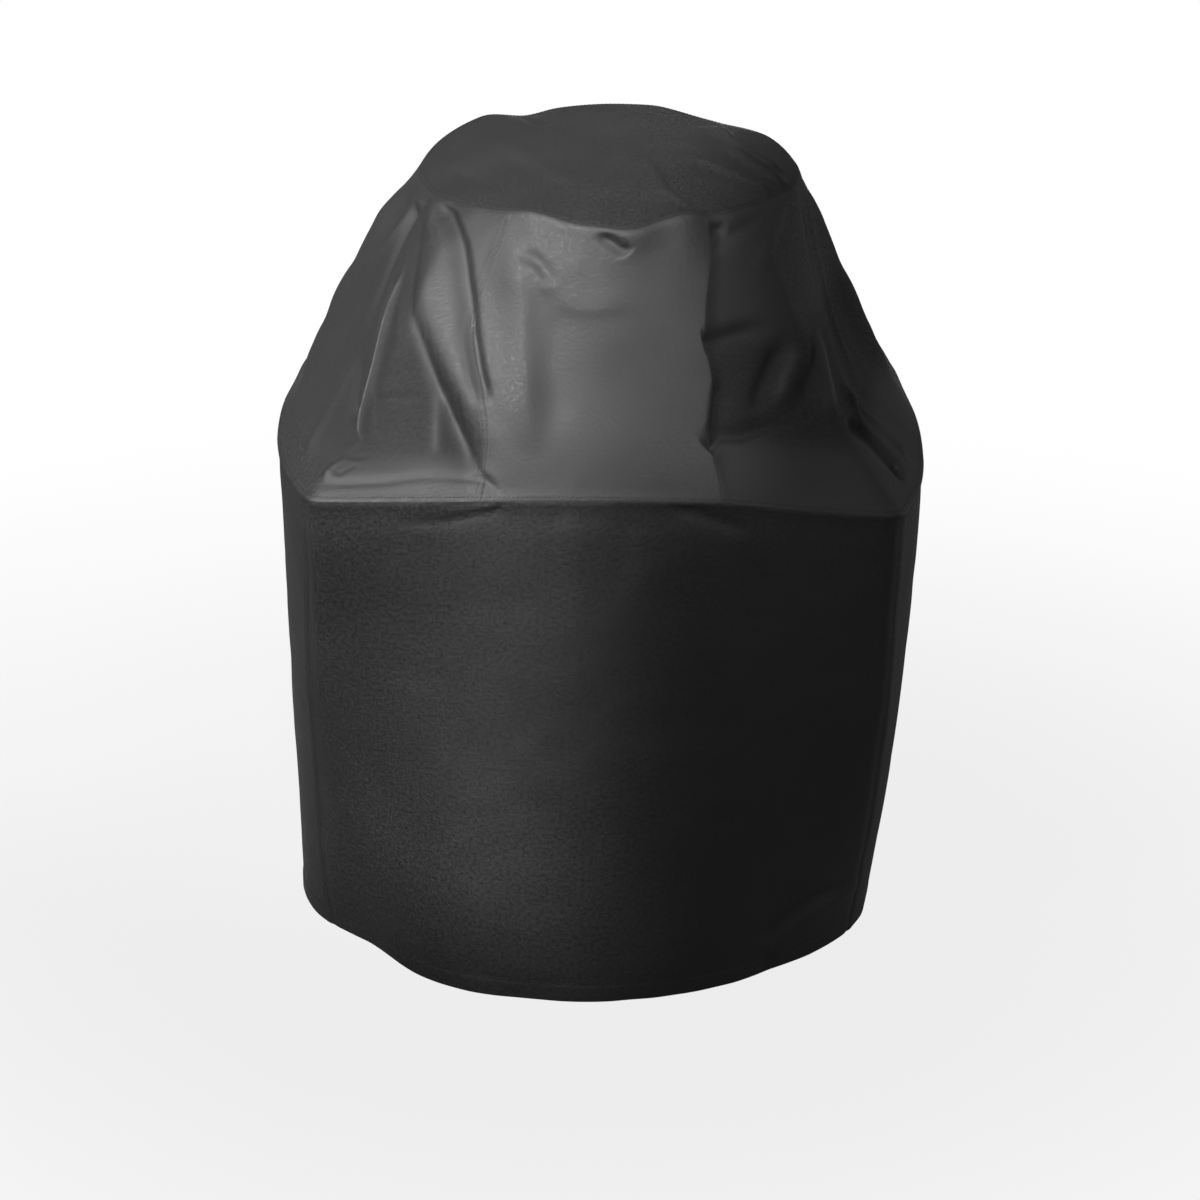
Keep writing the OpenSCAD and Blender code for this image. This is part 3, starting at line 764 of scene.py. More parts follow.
# rows from one seam to the next, closer together beside both
def rowsDown(length, step, nearTop, nearFoot):
    count = int((length - nearTop[-1] - nearFoot[-1]) / step) + 1
    middle = np.linspace(nearTop[-1], length - nearFoot[-1], count)
    spots = np.concatenate([nearTop[:-1], middle, length - np.array(nearFoot[-2::-1])])
    return spots / length


edgeRows = [0, 0.0006, 0.0013, 0.0021, 0.003, 0.004, 0.0052, 0.0066, 0.0082, 0.010]
hemRows = [
    0, 0.002, 0.006, 0.010, 0.0145, 0.0165, 0.018, 0.019, 0.020, 0.0215, 0.0235, 0.026,
]
rowStep = {"slope": 0.0024, "slopeLong": 0.305, "skirt": 0.0046}
slopeRows = rowsDown(rowStep["slopeLong"], rowStep["slope"], edgeRows, edgeRows)
skirtRows = rowsDown(cover["shoulderHigh"], rowStep["skirt"], edgeRows, hemRows)
smoothAngle = math.radians(50)


# changes the whole mesh of the active object
def inEditMode(*changes):
    bpy.ops.object.mode_set(mode="EDIT")
    bpy.ops.mesh.select_all(action="SELECT")
    for change in changes:
        change()
    bpy.ops.object.mode_set(mode="OBJECT")


# a flat sheet of cloth with its own grid and pattern in metres, moved into its draped place
def drapedSheet(name, spots, closed=False):
    rows, cols = spots.shape[:2]
    middle = cols // 2
    bpy.ops.mesh.primitive_grid_add(x_subdivisions=cols - 1, y_subdivisions=rows - 1, size=1)
    sheet = bpy.context.object
    sheet.name = name
    sheet.data.name = name
    sheet.data.vertices.foreach_set("co", spots[::-1].reshape(-1).astype(np.float32))
    across = lengthSoFar(spots)
    across = across - across[:, middle:middle + 1]
    down = lengthSoFar(spots[:, middle])
    flat = np.stack([across, np.repeat(-down[:, None], cols, 1)], -1)[::-1].reshape(-1, 2)
    setPattern(sheet.data, flat)
    if closed:
        inEditMode(lambda: bpy.ops.mesh.remove_doubles(threshold=1e-6))
    bpy.ops.object.shade_smooth()
    return sheet


def setPattern(mesh, flat):
    corners = np.empty(len(mesh.loops), np.int32)
    mesh.loops.foreach_get("vertex_index", corners)
    mesh.uv_layers.active.data.foreach_set("uv", flat[corners].reshape(-1).astype(np.float32))
    mesh.update()


# gives a sheet its thickness, inward from the face that shows
def thicken(sheet, thick, offset=-1.0):
    bpy.ops.object.select_all(action="DESELECT")
    sheet.select_set(True)
    bpy.context.view_layer.objects.active = sheet
    wall = sheet.modifiers.new("wall", "SOLIDIFY")
    wall.thickness = thick
    wall.offset = offset
    wall.use_even_offset = False
    bpy.ops.object.modifier_apply(modifier=wall.name)
    bpy.ops.object.shade_smooth_by_angle(angle=smoothAngle)


def useFinish(piece, finish):
    piece.data.materials.clear()
    piece.data.materials.append(finish)


# a node with its inputs and settings
def addNode(tree, kind, **settings):
    node = tree.nodes.new("ShaderNode" + kind)
    for key, value in settings.items():
        if key in node.inputs:
            node.inputs[key].default_value = value
        else:
            setattr(node, key, value)
    return node


def wire(source, output, target, entry):
    target.id_data.links.new(source.outputs[output], target.inputs[entry])


# a node that maps a value from one pair of ends to another
def addRange(tree, source, output, fromEnds, toEnds, **settings):
    node = addNode(tree, "MapRange", **settings)
    for key, ends in (("From", fromEnds), ("To", toEnds)):
        node.inputs[key + " Min"].default_value = ends[0]
        node.inputs[key + " Max"].default_value = ends[1]
    wire(source, output, node, "Value")
    return node


def grey(value, cool=1.03):
    return (value, value, value * cool, 1.0)


# how noise is spread into tone and gloss, the scale and height of threads for a pitch of 1, and the
# height of slubs in metres
weaving = {
    "toneEnds": (0.3, 0.7), "glossEnds": (0.25, 0.75), "waveScale": 0.31416, "threadHigh": 0.12,
    "slubHigh": 0.0010,
}


# woven cloth with a thin coating: base tones, sheen, and the pitch of its weave in metres
def clothFinish(name, look):
    finish = bpy.data.materials.new(name)
    finish.use_nodes = True
    tree = finish.node_tree
    shader = tree.nodes["Principled BSDF"]
    shader.inputs["Specular IOR Level"].default_value = look["shine"]
    place = addNode(tree, "TexCoord")
    dull = addNode(tree, "Attribute", attribute_name="paintedShadeAndDullness")
    tone = addNode(tree, "TexNoise", Scale=look["patch"], Detail=4.0, Roughness=0.6)
    wire(place, "Object", tone, "Vector")
    grain = addNode(tree, "TexNoise", Scale=look["grain"], Detail=2.0, Roughness=0.55)
    wire(place, look["mapped"], grain, "Vector")
    # colour: soft patches, speckled by the grain, with painted shade where the slopes' hollows are
    patches = addRange(tree, tone, "Fac", weaving["toneEnds"], (0, 1))
    colour = addNode(tree, "MixRGB", Color1=grey(look["dark"]), Color2=grey(look["light"]))
    wire(patches, "Result", colour, "Fac")
    speckEnds = (1 - look["speckle"], 1 + look["speckle"])
    speck = addRange(tree, grain, "Fac", weaving["toneEnds"], speckEnds)
    speckled = addNode(tree, "VectorMath", operation="SCALE")
    wire(colour, "Color", speckled, 0)
    wire(speck, "Result", speckled, "Scale")
    # painted shade: the colour is multiplied down by the mask in the slopes' hollows
    deep = addNode(tree, "MixRGB", blend_type="MULTIPLY", Color2=grey(look["paintedShadeTone"]))
    wire(dull, "Fac", deep, "Fac")
    wire(speckled, "Vector", deep, "Color1")
    wire(deep, "Color", shader, "Base Color")
    # roughness: uneven by the grain, more under the same mask as the painted shade
    roughEnds = (look["rough"] - look["roughSpread"], look["rough"] + look["roughSpread"])
    gloss = addRange(tree, grain, "Fac", weaving["glossEnds"], roughEnds)
    duller = addNode(tree, "Math", operation="MULTIPLY_ADD")
    duller.inputs[1].default_value = look["dullRough"]
    wire(dull, "Fac", duller, 0)
    wire(gloss, "Result", duller, 2)
    wire(duller, "Value", shader, "Roughness")
    # threads of the weave and slubs of the grain
    weave = addNode(tree, "Math", operation="MULTIPLY")
    for entry, direction in enumerate(("X", "Y")):
        wave = addNode(tree, "TexWave", wave_type="BANDS", bands_direction=direction,
                       Scale=weaving["waveScale"] / look["pitch"])
        wire(place, look["mapped"], wave, "Vector")
        wire(wave, "Fac", weave, entry)
    threads = addNode(tree, "Bump", Strength=look["weaveStrength"],
                      Distance=look["pitch"] * weaving["threadHigh"])
    wire(weave, "Value", threads, "Height")
    slub = addNode(tree, "Bump", Strength=look["grainStrength"], Distance=weaving["slubHigh"])
    wire(grain, "Fac", slub, "Height")
    wire(threads, "Normal", slub, "Normal")
    wire(slub, "Normal", shader, "Normal")
    return finish


# its shade tone is painted shade: how far the colour is darkened in the slopes' hollows
coated = {
    "dark": 0.011, "light": 0.019, "rough": 0.64, "roughSpread": 0.12, "shine": 0.85,
    "pitch": 0.0012, "patch": 9.0, "grain": 240.0, "weaveStrength": 0.40, "grainStrength": 0.40,
    "paintedShadeTone": 0.35, "dullRough": 0.25, "speckle": 0.65, "mapped": "UV",
}
coatedCloth = clothFinish("coated black cloth", coated)
# a copy of the cloth for the crown, with less sheen and a rougher face; its lighter colour is
# painted sheen, standing in for the sheen that it lost
crownPaintedSheenCloth = clothFinish("crown cloth with painted sheen", {
    **coated, "dark": 0.014, "light": 0.024, "rough": 0.76, "shine": 0.5,
})
plain = {"paintedShadeTone": 1.0, "dullRough": 0.0, "speckle": 0.2, "mapped": "Object"}
seamTape = clothFinish("seam tape", {
    **plain, "dark": 0.014, "light": 0.020, "rough": 0.70, "roughSpread": 0.06, "shine": 0.30,
    "pitch": 0.0010, "patch": 14.0, "grain": 500.0, "weaveStrength": 0.5, "grainStrength": 0.2,
    "mapped": "UV",
})
webbing = clothFinish("webbing", {
    **plain, "dark": 0.012, "light": 0.020, "rough": 0.60, "roughSpread": 0.06, "shine": 0.40,
    "pitch": 0.0022, "patch": 30.0, "grain": 600.0, "weaveStrength": 0.9, "grainStrength": 0.25,
})
hookPile = clothFinish("hook and loop pile", {
    **plain, "dark": 0.010, "light": 0.020, "rough": 0.85, "roughSpread": 0.08, "shine": 0.20,
    "pitch": 0.0014, "patch": 40.0, "grain": 900.0, "weaveStrength": 1.0, "grainStrength": 0.8,
})
sewingThread = clothFinish("sewing thread", {
    **plain, "dark": 0.014, "light": 0.022, "rough": 0.55, "roughSpread": 0.05, "shine": 0.45,
    "pitch": 0.0004, "patch": 40.0, "grain": 900.0, "weaveStrength": 0.4, "grainStrength": 0.2,
    "speckle": 0.1,
})
print("finishes: made")

# panels of the cover: columns, the flat size that each is cut to, and the panel that it hangs from
panels = {
    "crown_panel": {"flat": (0.424, 0.424), "area": 0.136, "steps": 180, "on": []},
    "slope_front": {"cols": (-22, 22), "flat": (0.26, 0.31), "area": 0.070, "on": ["crown_panel"]},
    "slope_right": {"cols": (22, 158), "flat": (0.78, 0.36), "area": 0.215, "on": ["crown_panel"]},
    "slope_back": {"cols": (158, 202), "flat": (0.26, 0.31), "area": 0.070, "on": ["crown_panel"]},
    "slope_left": {"cols": (-158, -22), "flat": (0.78, 0.36), "area": 0.215, "on": ["crown_panel"]},
    "skirt_front": {"cols": (-47, 47), "flat": (0.68, 0.60), "area": 0.36, "on": ["slope_front"]},
    "skirt_right": {"cols": (47, 133), "flat": (0.48, 0.60), "area": 0.24, "on": ["slope_right"]},
    "skirt_back": {"cols": (133, 227), "flat": (0.68, 0.60), "area": 0.36, "on": ["slope_back"]},
    "skirt_left": {"cols": (-133, -47), "flat": (0.48, 0.60), "area": 0.24, "on": ["slope_left"]},
}
slopeNames = ["slope_front", "slope_right", "slope_back", "slope_left"]


# square grid wrapped onto the round crown, so that it has no pole
def crownGrid(steps):
    a = np.linspace(-1, 1, steps + 1)
    x, y = np.meshgrid(a, a)
    u = np.maximum(np.abs(x), np.abs(y))
    safe = np.where(u > 0, u, 1)
    wide = np.abs(x) >= np.abs(y)
    col = np.where(wide, np.where(x > 0, 90 + 45 * y / safe, -90 - 45 * y / safe),
                   np.where(y < 0, 45 * x / safe, 180 - 45 * x / safe))
    return col, u


for name, panel in panels.items():
    if name == "crown_panel":
        spots = crownSpot(*crownGrid(panel["steps"]))[::-1]
    else:
        rows, spot = (slopeRows, slopeSpot) if name in slopeNames else (skirtRows, skirtSpot)
        cols, shares = np.meshgrid(columnsBetween(*panel["cols"]), rows)
        spots = spot(cols, shares)
    sheet = drapedSheet(name + "_cloth", spots)
    if name in slopeNames:
        # painted shade: the mask that darkens the slopes' hollows and makes them rougher
        shade = sheet.data.attributes.new("paintedShadeAndDullness", "FLOAT", "POINT")
        dull = paintedShadeAndDullness(cols, shares)[::-1].reshape(-1)
        shade.data.foreach_set("value", dull.astype(np.float32))
    thicken(sheet, cover["clothThick"])
    useFinish(sheet, crownPaintedSheenCloth if name == "crown_panel" else coatedCloth)
    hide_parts(name)
    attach(sheet, "cover")
    print("panel:", name, len(sheet.data.polygons), "faces")

# tapes sewn over the seams inside, and the cloth turned up at the hem
tapes = {
    "wide": 0.024, "thick": 0.0007, "gap": 0.0007, "ringStep": 1.0, "slopeLong": 0.272,
    "across": 7, "along": 90, "hemRows": 9, "hemClear": 0.0003,
}
ringCols = np.arange(-180, 180 + tapes["ringStep"] / 2, tapes["ringStep"])
tapeHalf = tapes["wide"] / 2
tapeSteps = np.array([0.25, 0.5, 0.75, 1.0])
crownShare = tapeHalf / crownRadius
slopeShare = tapeHalf / tapes["slopeLong"]
skirtShare = tapeHalf / cover["shoulderHigh"]
hemShare = cover["hemTurn"] / cover["shoulderHigh"]


# rows of a strip that lies under the cloth
def stripRows(spot, cols, shares):
    col, share = np.meshgrid(cols, shares)
    return spot(col, share) + inwardAt(spot, col, share) * (cover["clothThick"] + tapes["gap"])


def addTape(node, spots, finish, closed=False):
    tape = drapedSheet(node + "_strip", spots, closed)
    thicken(tape, tapes["thick"])
    useFinish(tape, finish)
    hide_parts(node)
    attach(tape, "cover")


addTape("crown_seam_tape", np.concatenate([
    stripRows(crownSpot, ringCols, 1 - tapeSteps[::-1] * crownShare),
    stripRows(slopeSpot, ringCols, tapeSteps * slopeShare),
]), seamTape, closed=True)
addTape("shoulder_seam_tape", np.concatenate([
    stripRows(slopeSpot, ringCols, 1 - tapeSteps[::-1] * slopeShare),
    stripRows(skirtSpot, ringCols, tapeSteps * skirtShare),
]), seamTape, closed=True)
corners = {"front_right": (1, 0), "back_right": (1, 1), "back_left": (-1, 1), "front_left": (-1, 0)}
for corner, (side, behind) in corners.items():
    for kind, spot, seam, ends in (
        ("slope", slopeSpot, cover["slopeSeamFoot"], (slopeShare, 1 - slopeShare)),
        ("skirt", skirtSpot, cover["skirtSeamTop"], (skirtShare, 1 - hemShare)),
    ):
        half = math.degrees(math.atan(tapeHalf / float(shoulderRadius(seam))))
        middle = side * (180 - seam if behind else seam)
        cols = np.linspace(middle - half, middle + half, tapes["across"])
        spots = stripRows(spot, cols, np.linspace(*ends, tapes["along"]))
        addTape(f"{kind}_tape_{corner}", spots, seamTape)
hemHeights = np.linspace(cover["hemTurn"], tapes["hemClear"], tapes["hemRows"])
hemSpots = stripRows(skirtSpot, ringCols, 1 - hemHeights / cover["shoulderHigh"])
addTape("hem_band", hemSpots, coatedCloth, closed=True)
print("tapes: made")

# fastening straps at the back corners: lengths along the skirt from the corner seam, in metres
straps = {
    "high": 0.084, "wide": 0.038, "thick": 0.0016, "gap": 0.0003, "climb": 0.040,
    "anchor": (-0.072, -0.030), "strap": (-0.0295, 0.1205), "patch": (0.0585, 0.1205),
    "patchThick": 0.0010, "cornerRound": 0.006, "bevel": 0.0004, "step": 0.0020,
    "roundSteps": 9, "rows": 15,
}
strapShare = 1 - straps["high"] / cover["shoulderHigh"]
strapHalf = straps["wide"] / 2
backSeam = 180 - mixed(cover["skirtSeamTop"], cover["skirtSeamFoot"], strapShare)


# seats are heights off the cloth: a strap climbs from its sewn end over the two patches
def strapSeat(x):
    climb = ease((x - straps["strap"][0]) / straps["climb"])
    return mixed(straps["gap"], 2 * (straps["gap"] + straps["patchThick"]), climb)


def flatSeat(x):
    return straps["gap"] + 0 * x


def raised(seatAt, lift):
    return lambda x: seatAt(x) + lift


# a point at a distance along the strap, a height from its middle line and a seat off the cloth
def strapSpot(side, x, height, seat):
    th = side * (backSeam + np.degrees(x / hemRadius(backSeam)))
    v = strapShare - height / cover["shoulderHigh"]
    out = -inwardAt(skirtFace, th, v, turn=0.25, step=0.003)
    return skirtFace(th, v) + out * seat[..., None], out


def bevelEdges(piece, width):
    edge = piece.modifiers.new("edge", "BEVEL")
    edge.width = width
    edge.segments = 2
    edge.limit_method = "ANGLE"
    edge.angle_limit = smoothAngle
    bpy.ops.object.modifier_apply(modifier=edge.name)


# a flat band on the skirt, its far corners rounded where it has a free end
def addBand(name, side, ends, seatAt, thick, rounded):
    x = np.linspace(*ends, int((ends[1] - ends[0]) / straps["step"]) + 1)
    inset = 0 * x
    if rounded:
        bend = np.sin(np.linspace(0, np.pi / 2, straps["roundSteps"]))
        x = np.concatenate([x[x < ends[1] - rounded], ends[1] - rounded * (1 - bend)])
        past = np.maximum(0, x - ends[1] + rounded)
        inset = rounded - np.sqrt(np.maximum(0, rounded ** 2 - past ** 2))
    heights = np.linspace(1, -1, straps["rows"])[:, None] * (strapHalf - inset)[None, :]
    along = x[None, :] + 0 * heights
    spots = strapSpot(side, along, heights, seatAt(along))[0]
    band = drapedSheet(name, spots[:, ::side])
    thicken(band, thick, 1.0)
    bevelEdges(band, straps["bevel"])
    return band


# one stitch, modelled once and set along every sewn line, and how far the lines are from the edges
stitching = {
    "long": 0.0034, "pitch": 0.0046, "thick": 0.0008, "flat": 0.7, "proud": 0.00010,
    "ringStep": 0.5, "onCrown": 0.0065, "onSlope": 0.0045, "onSkirt": 0.0050,
    "besideSeam": (0.0022, 0.0066), "onAnchor": 0.004, "onPatch": 0.0035,
}
bpy.ops.mesh.primitive_uv_sphere_add(segments=6, ring_count=4, radius=0.5)
stitch = bpy.context.object
stitchSize = (stitching["long"], stitching["thick"], stitching["thick"] * stitching["flat"])
inEditMode(
    lambda: bpy.ops.transform.rotate(value=math.pi / 2, orient_axis="Y", center_override=(0, 0, 0)),
    lambda: bpy.ops.transform.resize(value=stitchSize),
)


# a sphere's points come in another order each run, so they are put in a fixed one
def inFixedOrder(mesh, digits=7):
    points = np.array([v.co for v in mesh.vertices])
    order = np.lexsort(np.round(points, digits).T)
    rank = np.argsort(order).tolist()
    faces = []
    for f in mesh.polygons:
        face = [rank[i] for i in f.vertices]
        first = face.index(min(face))
        faces.append(face[first:] + face[:first])
    mesh.clear_geometry()
    mesh.from_pydata(points[order].tolist(), [], sorted(faces))


inFixedOrder(stitch.data)


# copies of a small shape, each at a spot with its x along one direction and its z along another
def copiesOf(shape, name, spots, along, out):
    side = unit(np.cross(out, along))
    up = np.cross(along, side)
    own = np.array([v.co for v in shape.data.vertices])
    faces = [list(f.vertices) for f in shape.data.polygons]
    points = spots[:, None] + own[None, :, :1] * along[:, None] + own[None, :, 1:2] * side[:, None]
    points = points + own[None, :, 2:] * up[:, None]
    shapes = bpy.data.meshes.new(name)
    shapes.from_pydata(
        points.reshape(-1, 3).tolist(), [],
        [[k * len(own) + i for i in face] for k in range(len(spots)) for face in faces],
    )
    shapes.shade_smooth()
    piece = bpy.data.objects.new(name, shapes)
    bpy.context.collection.objects.link(piece)
    return piece


# spots of a row of stitches along a line on the cloth
def stitchSpots(line, out):
    reach = lengthSoFar(line)
    count = max(1, int(reach[-1] / stitching["pitch"]))
    middle = (np.arange(count) + 0.5) * reach[-1] / count
    half = stitching["long"] / 2

    def at(distance, values):
        return np.stack([np.interp(distance, reach, values[:, k]) for k in range(3)], 1)

    along = unit(at(middle + half, line) - at(middle - half, line))
    return at(middle, line), along, at(middle, out)


def sewn(name, lines, body):
    rows = [stitchSpots(line, out) for line, out in lines]
    spots, along, out = (np.concatenate(part) for part in zip(*rows))
    piece = copiesOf(stitch, name, spots, along, out)
    useFinish(piece, sewingThread)
    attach(piece, body)


# a line on the outer face of the cloth, and the way out from it
def clothLine(spot, col, share):
    inward = inwardAt(spot, col, share)
    return spot(col, share) - inward * stitching["proud"], -inward


# column at a distance past a seam, away from the front or the back
def besideSeam(angleAt, seamCol, share, distance, nudge=0.1):
    outward = 1 if (0 < seamCol < 90 or seamCol < -90) else -1
    turn = np.abs(angleAt(seamCol + outward * nudge, share) - angleAt(seamCol, share))
    return seamCol + outward * distance / (np.radians(turn) / nudge * skirtRadius)


# a line right round the cover
def ringLine(spot, share):
    ring = np.arange(-180, 180.1, stitching["ringStep"])
    return clothLine(spot, ring, share + 0 * ring)


sewn("crown_stitches", [ringLine(crownSpot, 1 - stitching["onCrown"] / crownRadius)], "cover")
sewn("shoulder_stitches", [
    ringLine(slopeSpot, 1 - stitching["onSlope"] / slopeLength),
    ringLine(skirtSpot, stitching["onSkirt"] / cover["shoulderHigh"]),
], "cover")
sewn("hem_stitches", [
    ringLine(skirtSpot, 1 - hemFold["stitchHigh"] / cover["shoulderHigh"]),
], "cover")
for kind, spot, angleAt, seam, ends in (
    ("slope", slopeSpot, slopeAngle, cover["slopeSeamFoot"], (0.03, 0.975)),
    ("skirt", skirtSpot, skirtAngle, cover["skirtSeamTop"], (0.014, 0.962)),
):
    share = np.linspace(*ends, 160)
    lines = []
    for middle in (seam, 180 - seam, seam - 180, -seam):
        for distance in stitching["besideSeam"]:
            lines.append(clothLine(spot, besideSeam(angleAt, middle, share, distance), share))
    sewn(kind + "_stitches", lines, "cover")
print("stitches: made")


# a sewn line on a strap from corner to corner, given as (along, height)
def strapLine(side, corners, seatAt, steps=40):
    path = []
    for (x0, h0), (x1, h1) in zip(corners, corners[1:]):
        t = np.linspace(0, 1, steps, endpoint=False)
        path.append(np.stack([mixed(x0, x1, t), mixed(h0, h1, t)], 1))
    path = np.concatenate(path + [np.array([corners[-1]])])
    return strapSpot(side, path[:, 0], path[:, 1], seatAt(path[:, 0]) + stitching["proud"])


def boxed(ends, inset):
    a, b, h = ends[0] + inset, ends[1] - inset, strapHalf - inset
    return [(a, h), (b, h), (b, -h), (a, -h), (a, h)]


# hooks of the strap's patch and loops of the skirt's patch, each modelled once
pile = {
    "base": 0.0004, "clear": 0.00002, "pitch": 0.0017, "high": 0.00055, "thick": 0.0003,
    "edge": 0.0025, "tip": 0.5, "lean": 0.8, "loopWide": 0.75, "loopThick": 0.4,
    "scatter": 0.2, "twist": 0.6, "seed": 5,
}
bpy.ops.mesh.primitive_cone_add(
    vertices=5, radius1=pile["thick"], radius2=pile["thick"] * pile["tip"], depth=pile["high"],
    location=(0, 0, pile["high"] / 2),
)
hook = bpy.context.object
inEditMode(lambda: bpy.ops.mesh.subdivide(number_cuts=1))
for v in hook.data.vertices:
    v.co.x += pile["high"] * max(0.0, v.co.z / pile["high"]) ** 2 * pile["lean"]
bpy.ops.mesh.primitive_torus_add(
    major_segments=8, minor_segments=4, major_radius=pile["high"] * pile["loopWide"],
    minor_radius=pile["thick"] * pile["loopThick"], rotation=(math.pi / 2, 0, 0),
)
loop = bpy.context.object
bpy.ops.object.transform_apply(location=False, rotation=True, scale=False)


def addPile(name, shape, side, seatAt, facing, body):
    ends = straps["patch"]
    x = np.arange(ends[0] + pile["edge"], ends[1] - pile["edge"], pile["pitch"])
    h = np.arange(-strapHalf + pile["edge"], strapHalf - pile["edge"], pile["pitch"])
    gridX, gridH = (g.reshape(-1) for g in np.meshgrid(x, h))
    dice = np.random.default_rng(pile["seed"])
    scatter = dice.uniform(-pile["scatter"], pile["scatter"], gridX.shape)
    gridX = gridX + scatter * pile["pitch"]
    spots, out = strapSpot(side, gridX, gridH, seatAt(gridX))
    along = unit(strapSpot(side, gridX + millimetre, gridH, seatAt(gridX))[0] - spots)
    turn = dice.uniform(-pile["twist"], pile["twist"], gridX.shape)[:, None]
    along = along * np.cos(turn) + np.cross(out, along) * np.sin(turn)
    piece = copiesOf(shape, name, spots, along, out * facing)
    useFinish(piece, hookPile)
    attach(piece, body)


hookSeat = raised(strapSeat, -pile["base"])
loopTop = raised(flatSeat, pile["base"])
anchorTop = raised(flatSeat, straps["thick"])
strapTop = raised(strapSeat, straps["thick"])
for word, side in (("right", 1), ("left", -1)):
    moving = word + "_strap"
    pieces = [
        ("strap_anchor_" + word, straps["anchor"], flatSeat, straps["thick"], 0,
         webbing, "webbing", "cover"),
        ("strap_" + word, straps["strap"], strapSeat, straps["thick"], straps["cornerRound"],
         webbing, "webbing", moving),
        ("hook_patch_" + word, straps["patch"], hookSeat, pile["base"] - pile["clear"],
         straps["cornerRound"], hookPile, "patch", moving),
        ("loop_patch_" + word, straps["patch"], flatSeat, pile["base"], straps["cornerRound"],
         hookPile, "patch", "cover"),
    ]
    for node, ends, seatAt, thick, rounded, finish, slot, body in pieces:
        band = addBand(node + "_band", side, ends, seatAt, thick, rounded)
        useFinish(band, finish)
        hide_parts(node)
        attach(band, body)
    addPile("hooks_" + word, hook, side, hookSeat, -1, moving)
    addPile("loops_" + word, loop, side, loopTop, 1, "cover")
    anchorBox = boxed(straps["anchor"], stitching["onAnchor"])
    patchBox = boxed(straps["patch"], stitching["onPatch"])
    anchorLines = [anchorBox, [anchorBox[0], anchorBox[2]], [anchorBox[3], anchorBox[1]]]
    sewn("anchor_stitches_" + word, [strapLine(side, p, anchorTop) for p in anchorLines], "cover")
    sewn("patch_stitches_" + word, [strapLine(side, patchBox, loopTop)], "cover")
    sewn("strap_stitches_" + word, [strapLine(side, patchBox, strapTop)], moving)
for shape in (stitch, hook, loop):
    bpy.data.objects.remove(shape)
print("straps: made")
# floor, backdrop colour and lamps
stage = {
    "floorSize": 40.0,
    "floorTone": 0.20,
    "floorRough": 0.9,
    "floorShine": 0.1,
    "nearWhite": 0.84,
    "nearReach": 0.40,
    "farReach": 1.70,
    "ambient": 0.13,
    "mirrored": 0.08,
    "lampAway": 2.4,
}
white = (1, 1, 1, 1)
bpy.ops.mesh.primitive_plane_add(size=stage["floorSize"], location=(0, 0, 0))
floor = bpy.context.object
floor.name = "floor"


# how much of the white backdrop a ray sees: all from the camera or through something clear, and a
# little in the cloth's dull sheen
def seenShare(tree):
    path = addNode(tree, "LightPath")
    dull = addNode(tree, "Math", operation="MULTIPLY")
    dull.inputs[1].default_value = stage["mirrored"]
    wire(path, "Is Glossy Ray", dull, 0)
    first = addNode(tree, "Math", operation="MAXIMUM")
    wire(path, "Is Camera Ray", first, 0)
    wire(dull, "Value", first, 1)
    second = addNode(tree, "Math", operation="MAXIMUM")
    wire(first, "Value", second, 0)
    wire(path, "Is Transmission Ray", second, 1)
    return second


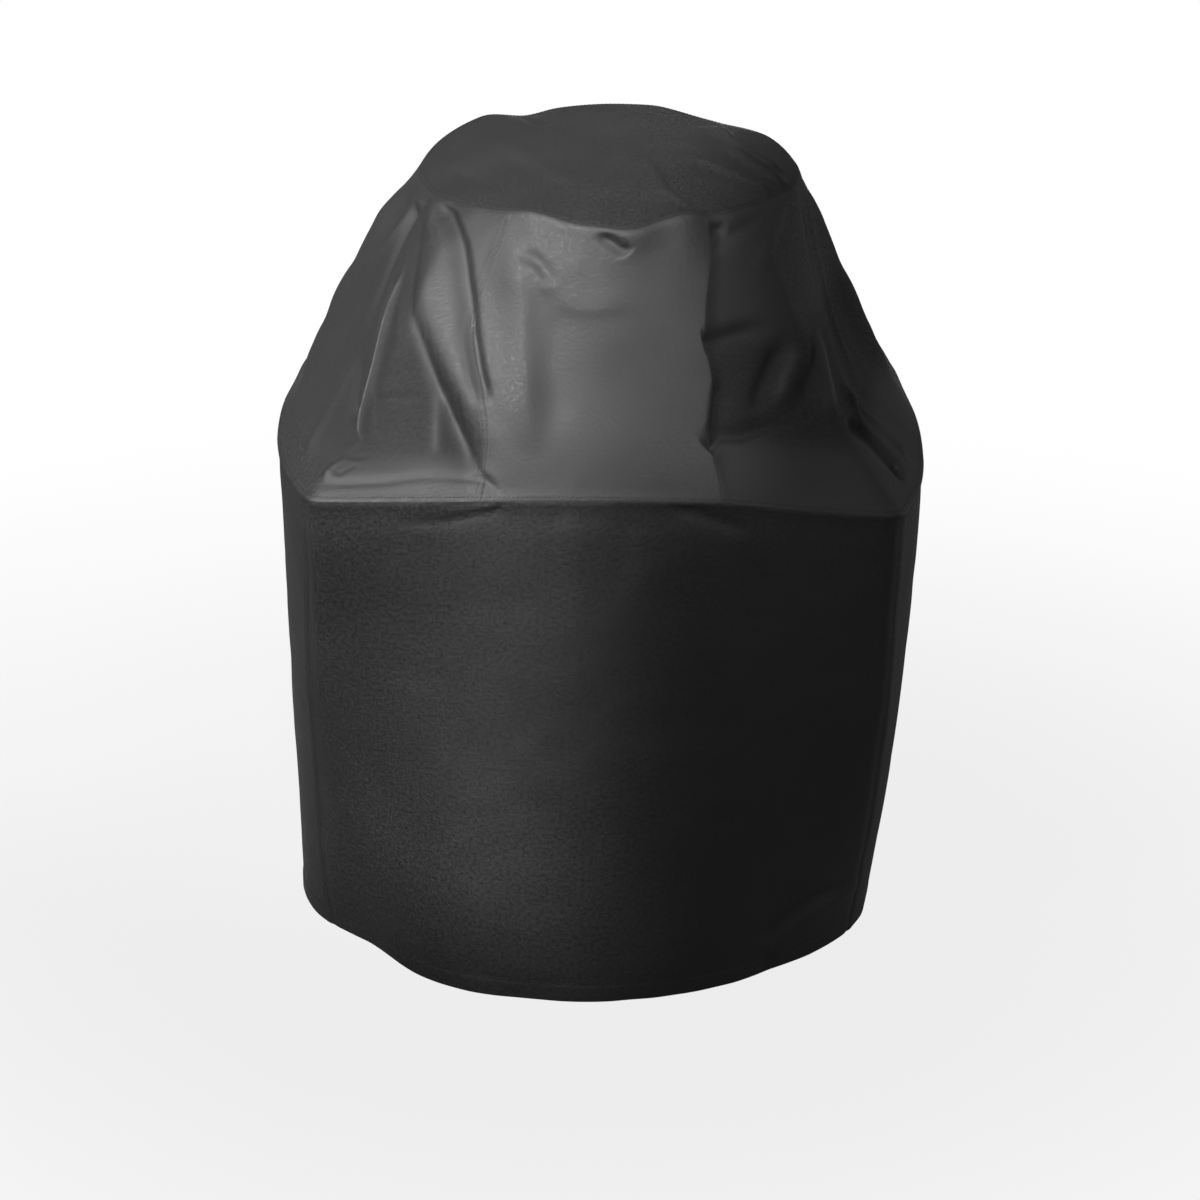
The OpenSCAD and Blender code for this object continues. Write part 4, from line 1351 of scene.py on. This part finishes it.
floorPaint = bpy.data.materials.new("pale floor")
floorPaint.use_nodes = True
tree = floorPaint.node_tree
paint = tree.nodes["Principled BSDF"]
paint.inputs["Base Color"].default_value = grey(stage["floorTone"])
paint.inputs["Roughness"].default_value = stage["floorRough"]
paint.inputs["Specular IOR Level"].default_value = stage["floorShine"]
glow = addNode(tree, "Emission", Color=white, Strength=1.0)
place = addNode(tree, "TexCoord")
away = addNode(tree, "VectorMath", operation="LENGTH")
wire(place, "Object", away, 0)
fade = addRange(tree, away, "Value", (stage["nearReach"], stage["farReach"]),
                (stage["nearWhite"], 1.0), interpolation_type="SMOOTHSTEP")
share = addNode(tree, "Math", operation="MULTIPLY")
wire(fade, "Result", share, 0)
wire(seenShare(tree), "Value", share, 1)
blend = addNode(tree, "MixShader")
wire(share, "Value", blend, "Fac")
wire(paint, "BSDF", blend, 1)
wire(glow, "Emission", blend, 2)
wire(blend, "Shader", tree.nodes["Material Output"], "Surface")
useFinish(floor, floorPaint)

world = bpy.data.worlds.new("studio")
bpy.context.scene.world = world
world.use_nodes = True
tree = world.node_tree
room = tree.nodes["Background"]
room.inputs["Color"].default_value = white
level = addRange(tree, seenShare(tree), "Value", (0, 1), (stage["ambient"], 1.0))
wire(level, "Result", room, "Strength")

# soft lamps: degrees round from the front and above the floor, metres, watts, spread of the beam
lamps = {
    "key lamp": {"aim": (-0.420, 0.223, 0.58), "round": -28, "above": 38, "wide": 1.2, "high": 1.2,
                 "power": 5.6, "spread": 6},
    "side lamp": {"aim": (0, 0, 0.64), "round": -50, "above": 38, "wide": 1.4, "high": 0.7,
                  "power": 0.8, "spread": 14},
    "front lamp": {"aim": (-0.28, 0, 0.74), "round": 5, "above": 42, "wide": 0.8, "high": 0.7,
                   "power": 1.0, "spread": 4},
    "right lamp": {"aim": (0, 0, 0.45), "round": 108, "above": 4, "wide": 1.0, "high": 0.8,
                   "power": 0.9, "spread": 100},
    "back lamp": {"aim": (0, 0, 0.36), "round": 178, "above": 0, "wide": 1.0, "high": 0.6,
                  "power": 10.0, "spread": 100},
}
for name, lamp in lamps.items():
    a, e = math.radians(lamp["round"]), math.radians(lamp["above"])
    back = (math.sin(a) * math.cos(e), -math.cos(a) * math.cos(e), math.sin(e))
    bpy.ops.object.light_add(
        type="AREA",
        location=[b * stage["lampAway"] + t for b, t in zip(back, lamp["aim"])],
        rotation=(math.pi / 2 - e, 0, a),
    )
    light = bpy.context.object
    light.name = name
    light.data.shape = "RECTANGLE"
    light.data.size = lamp["wide"]
    light.data.size_y = lamp["high"]
    light.data.energy = lamp["power"]
    light.data.spread = math.radians(lamp["spread"])
bpy.context.scene.view_settings.view_transform = "Standard"
print("stage: set")
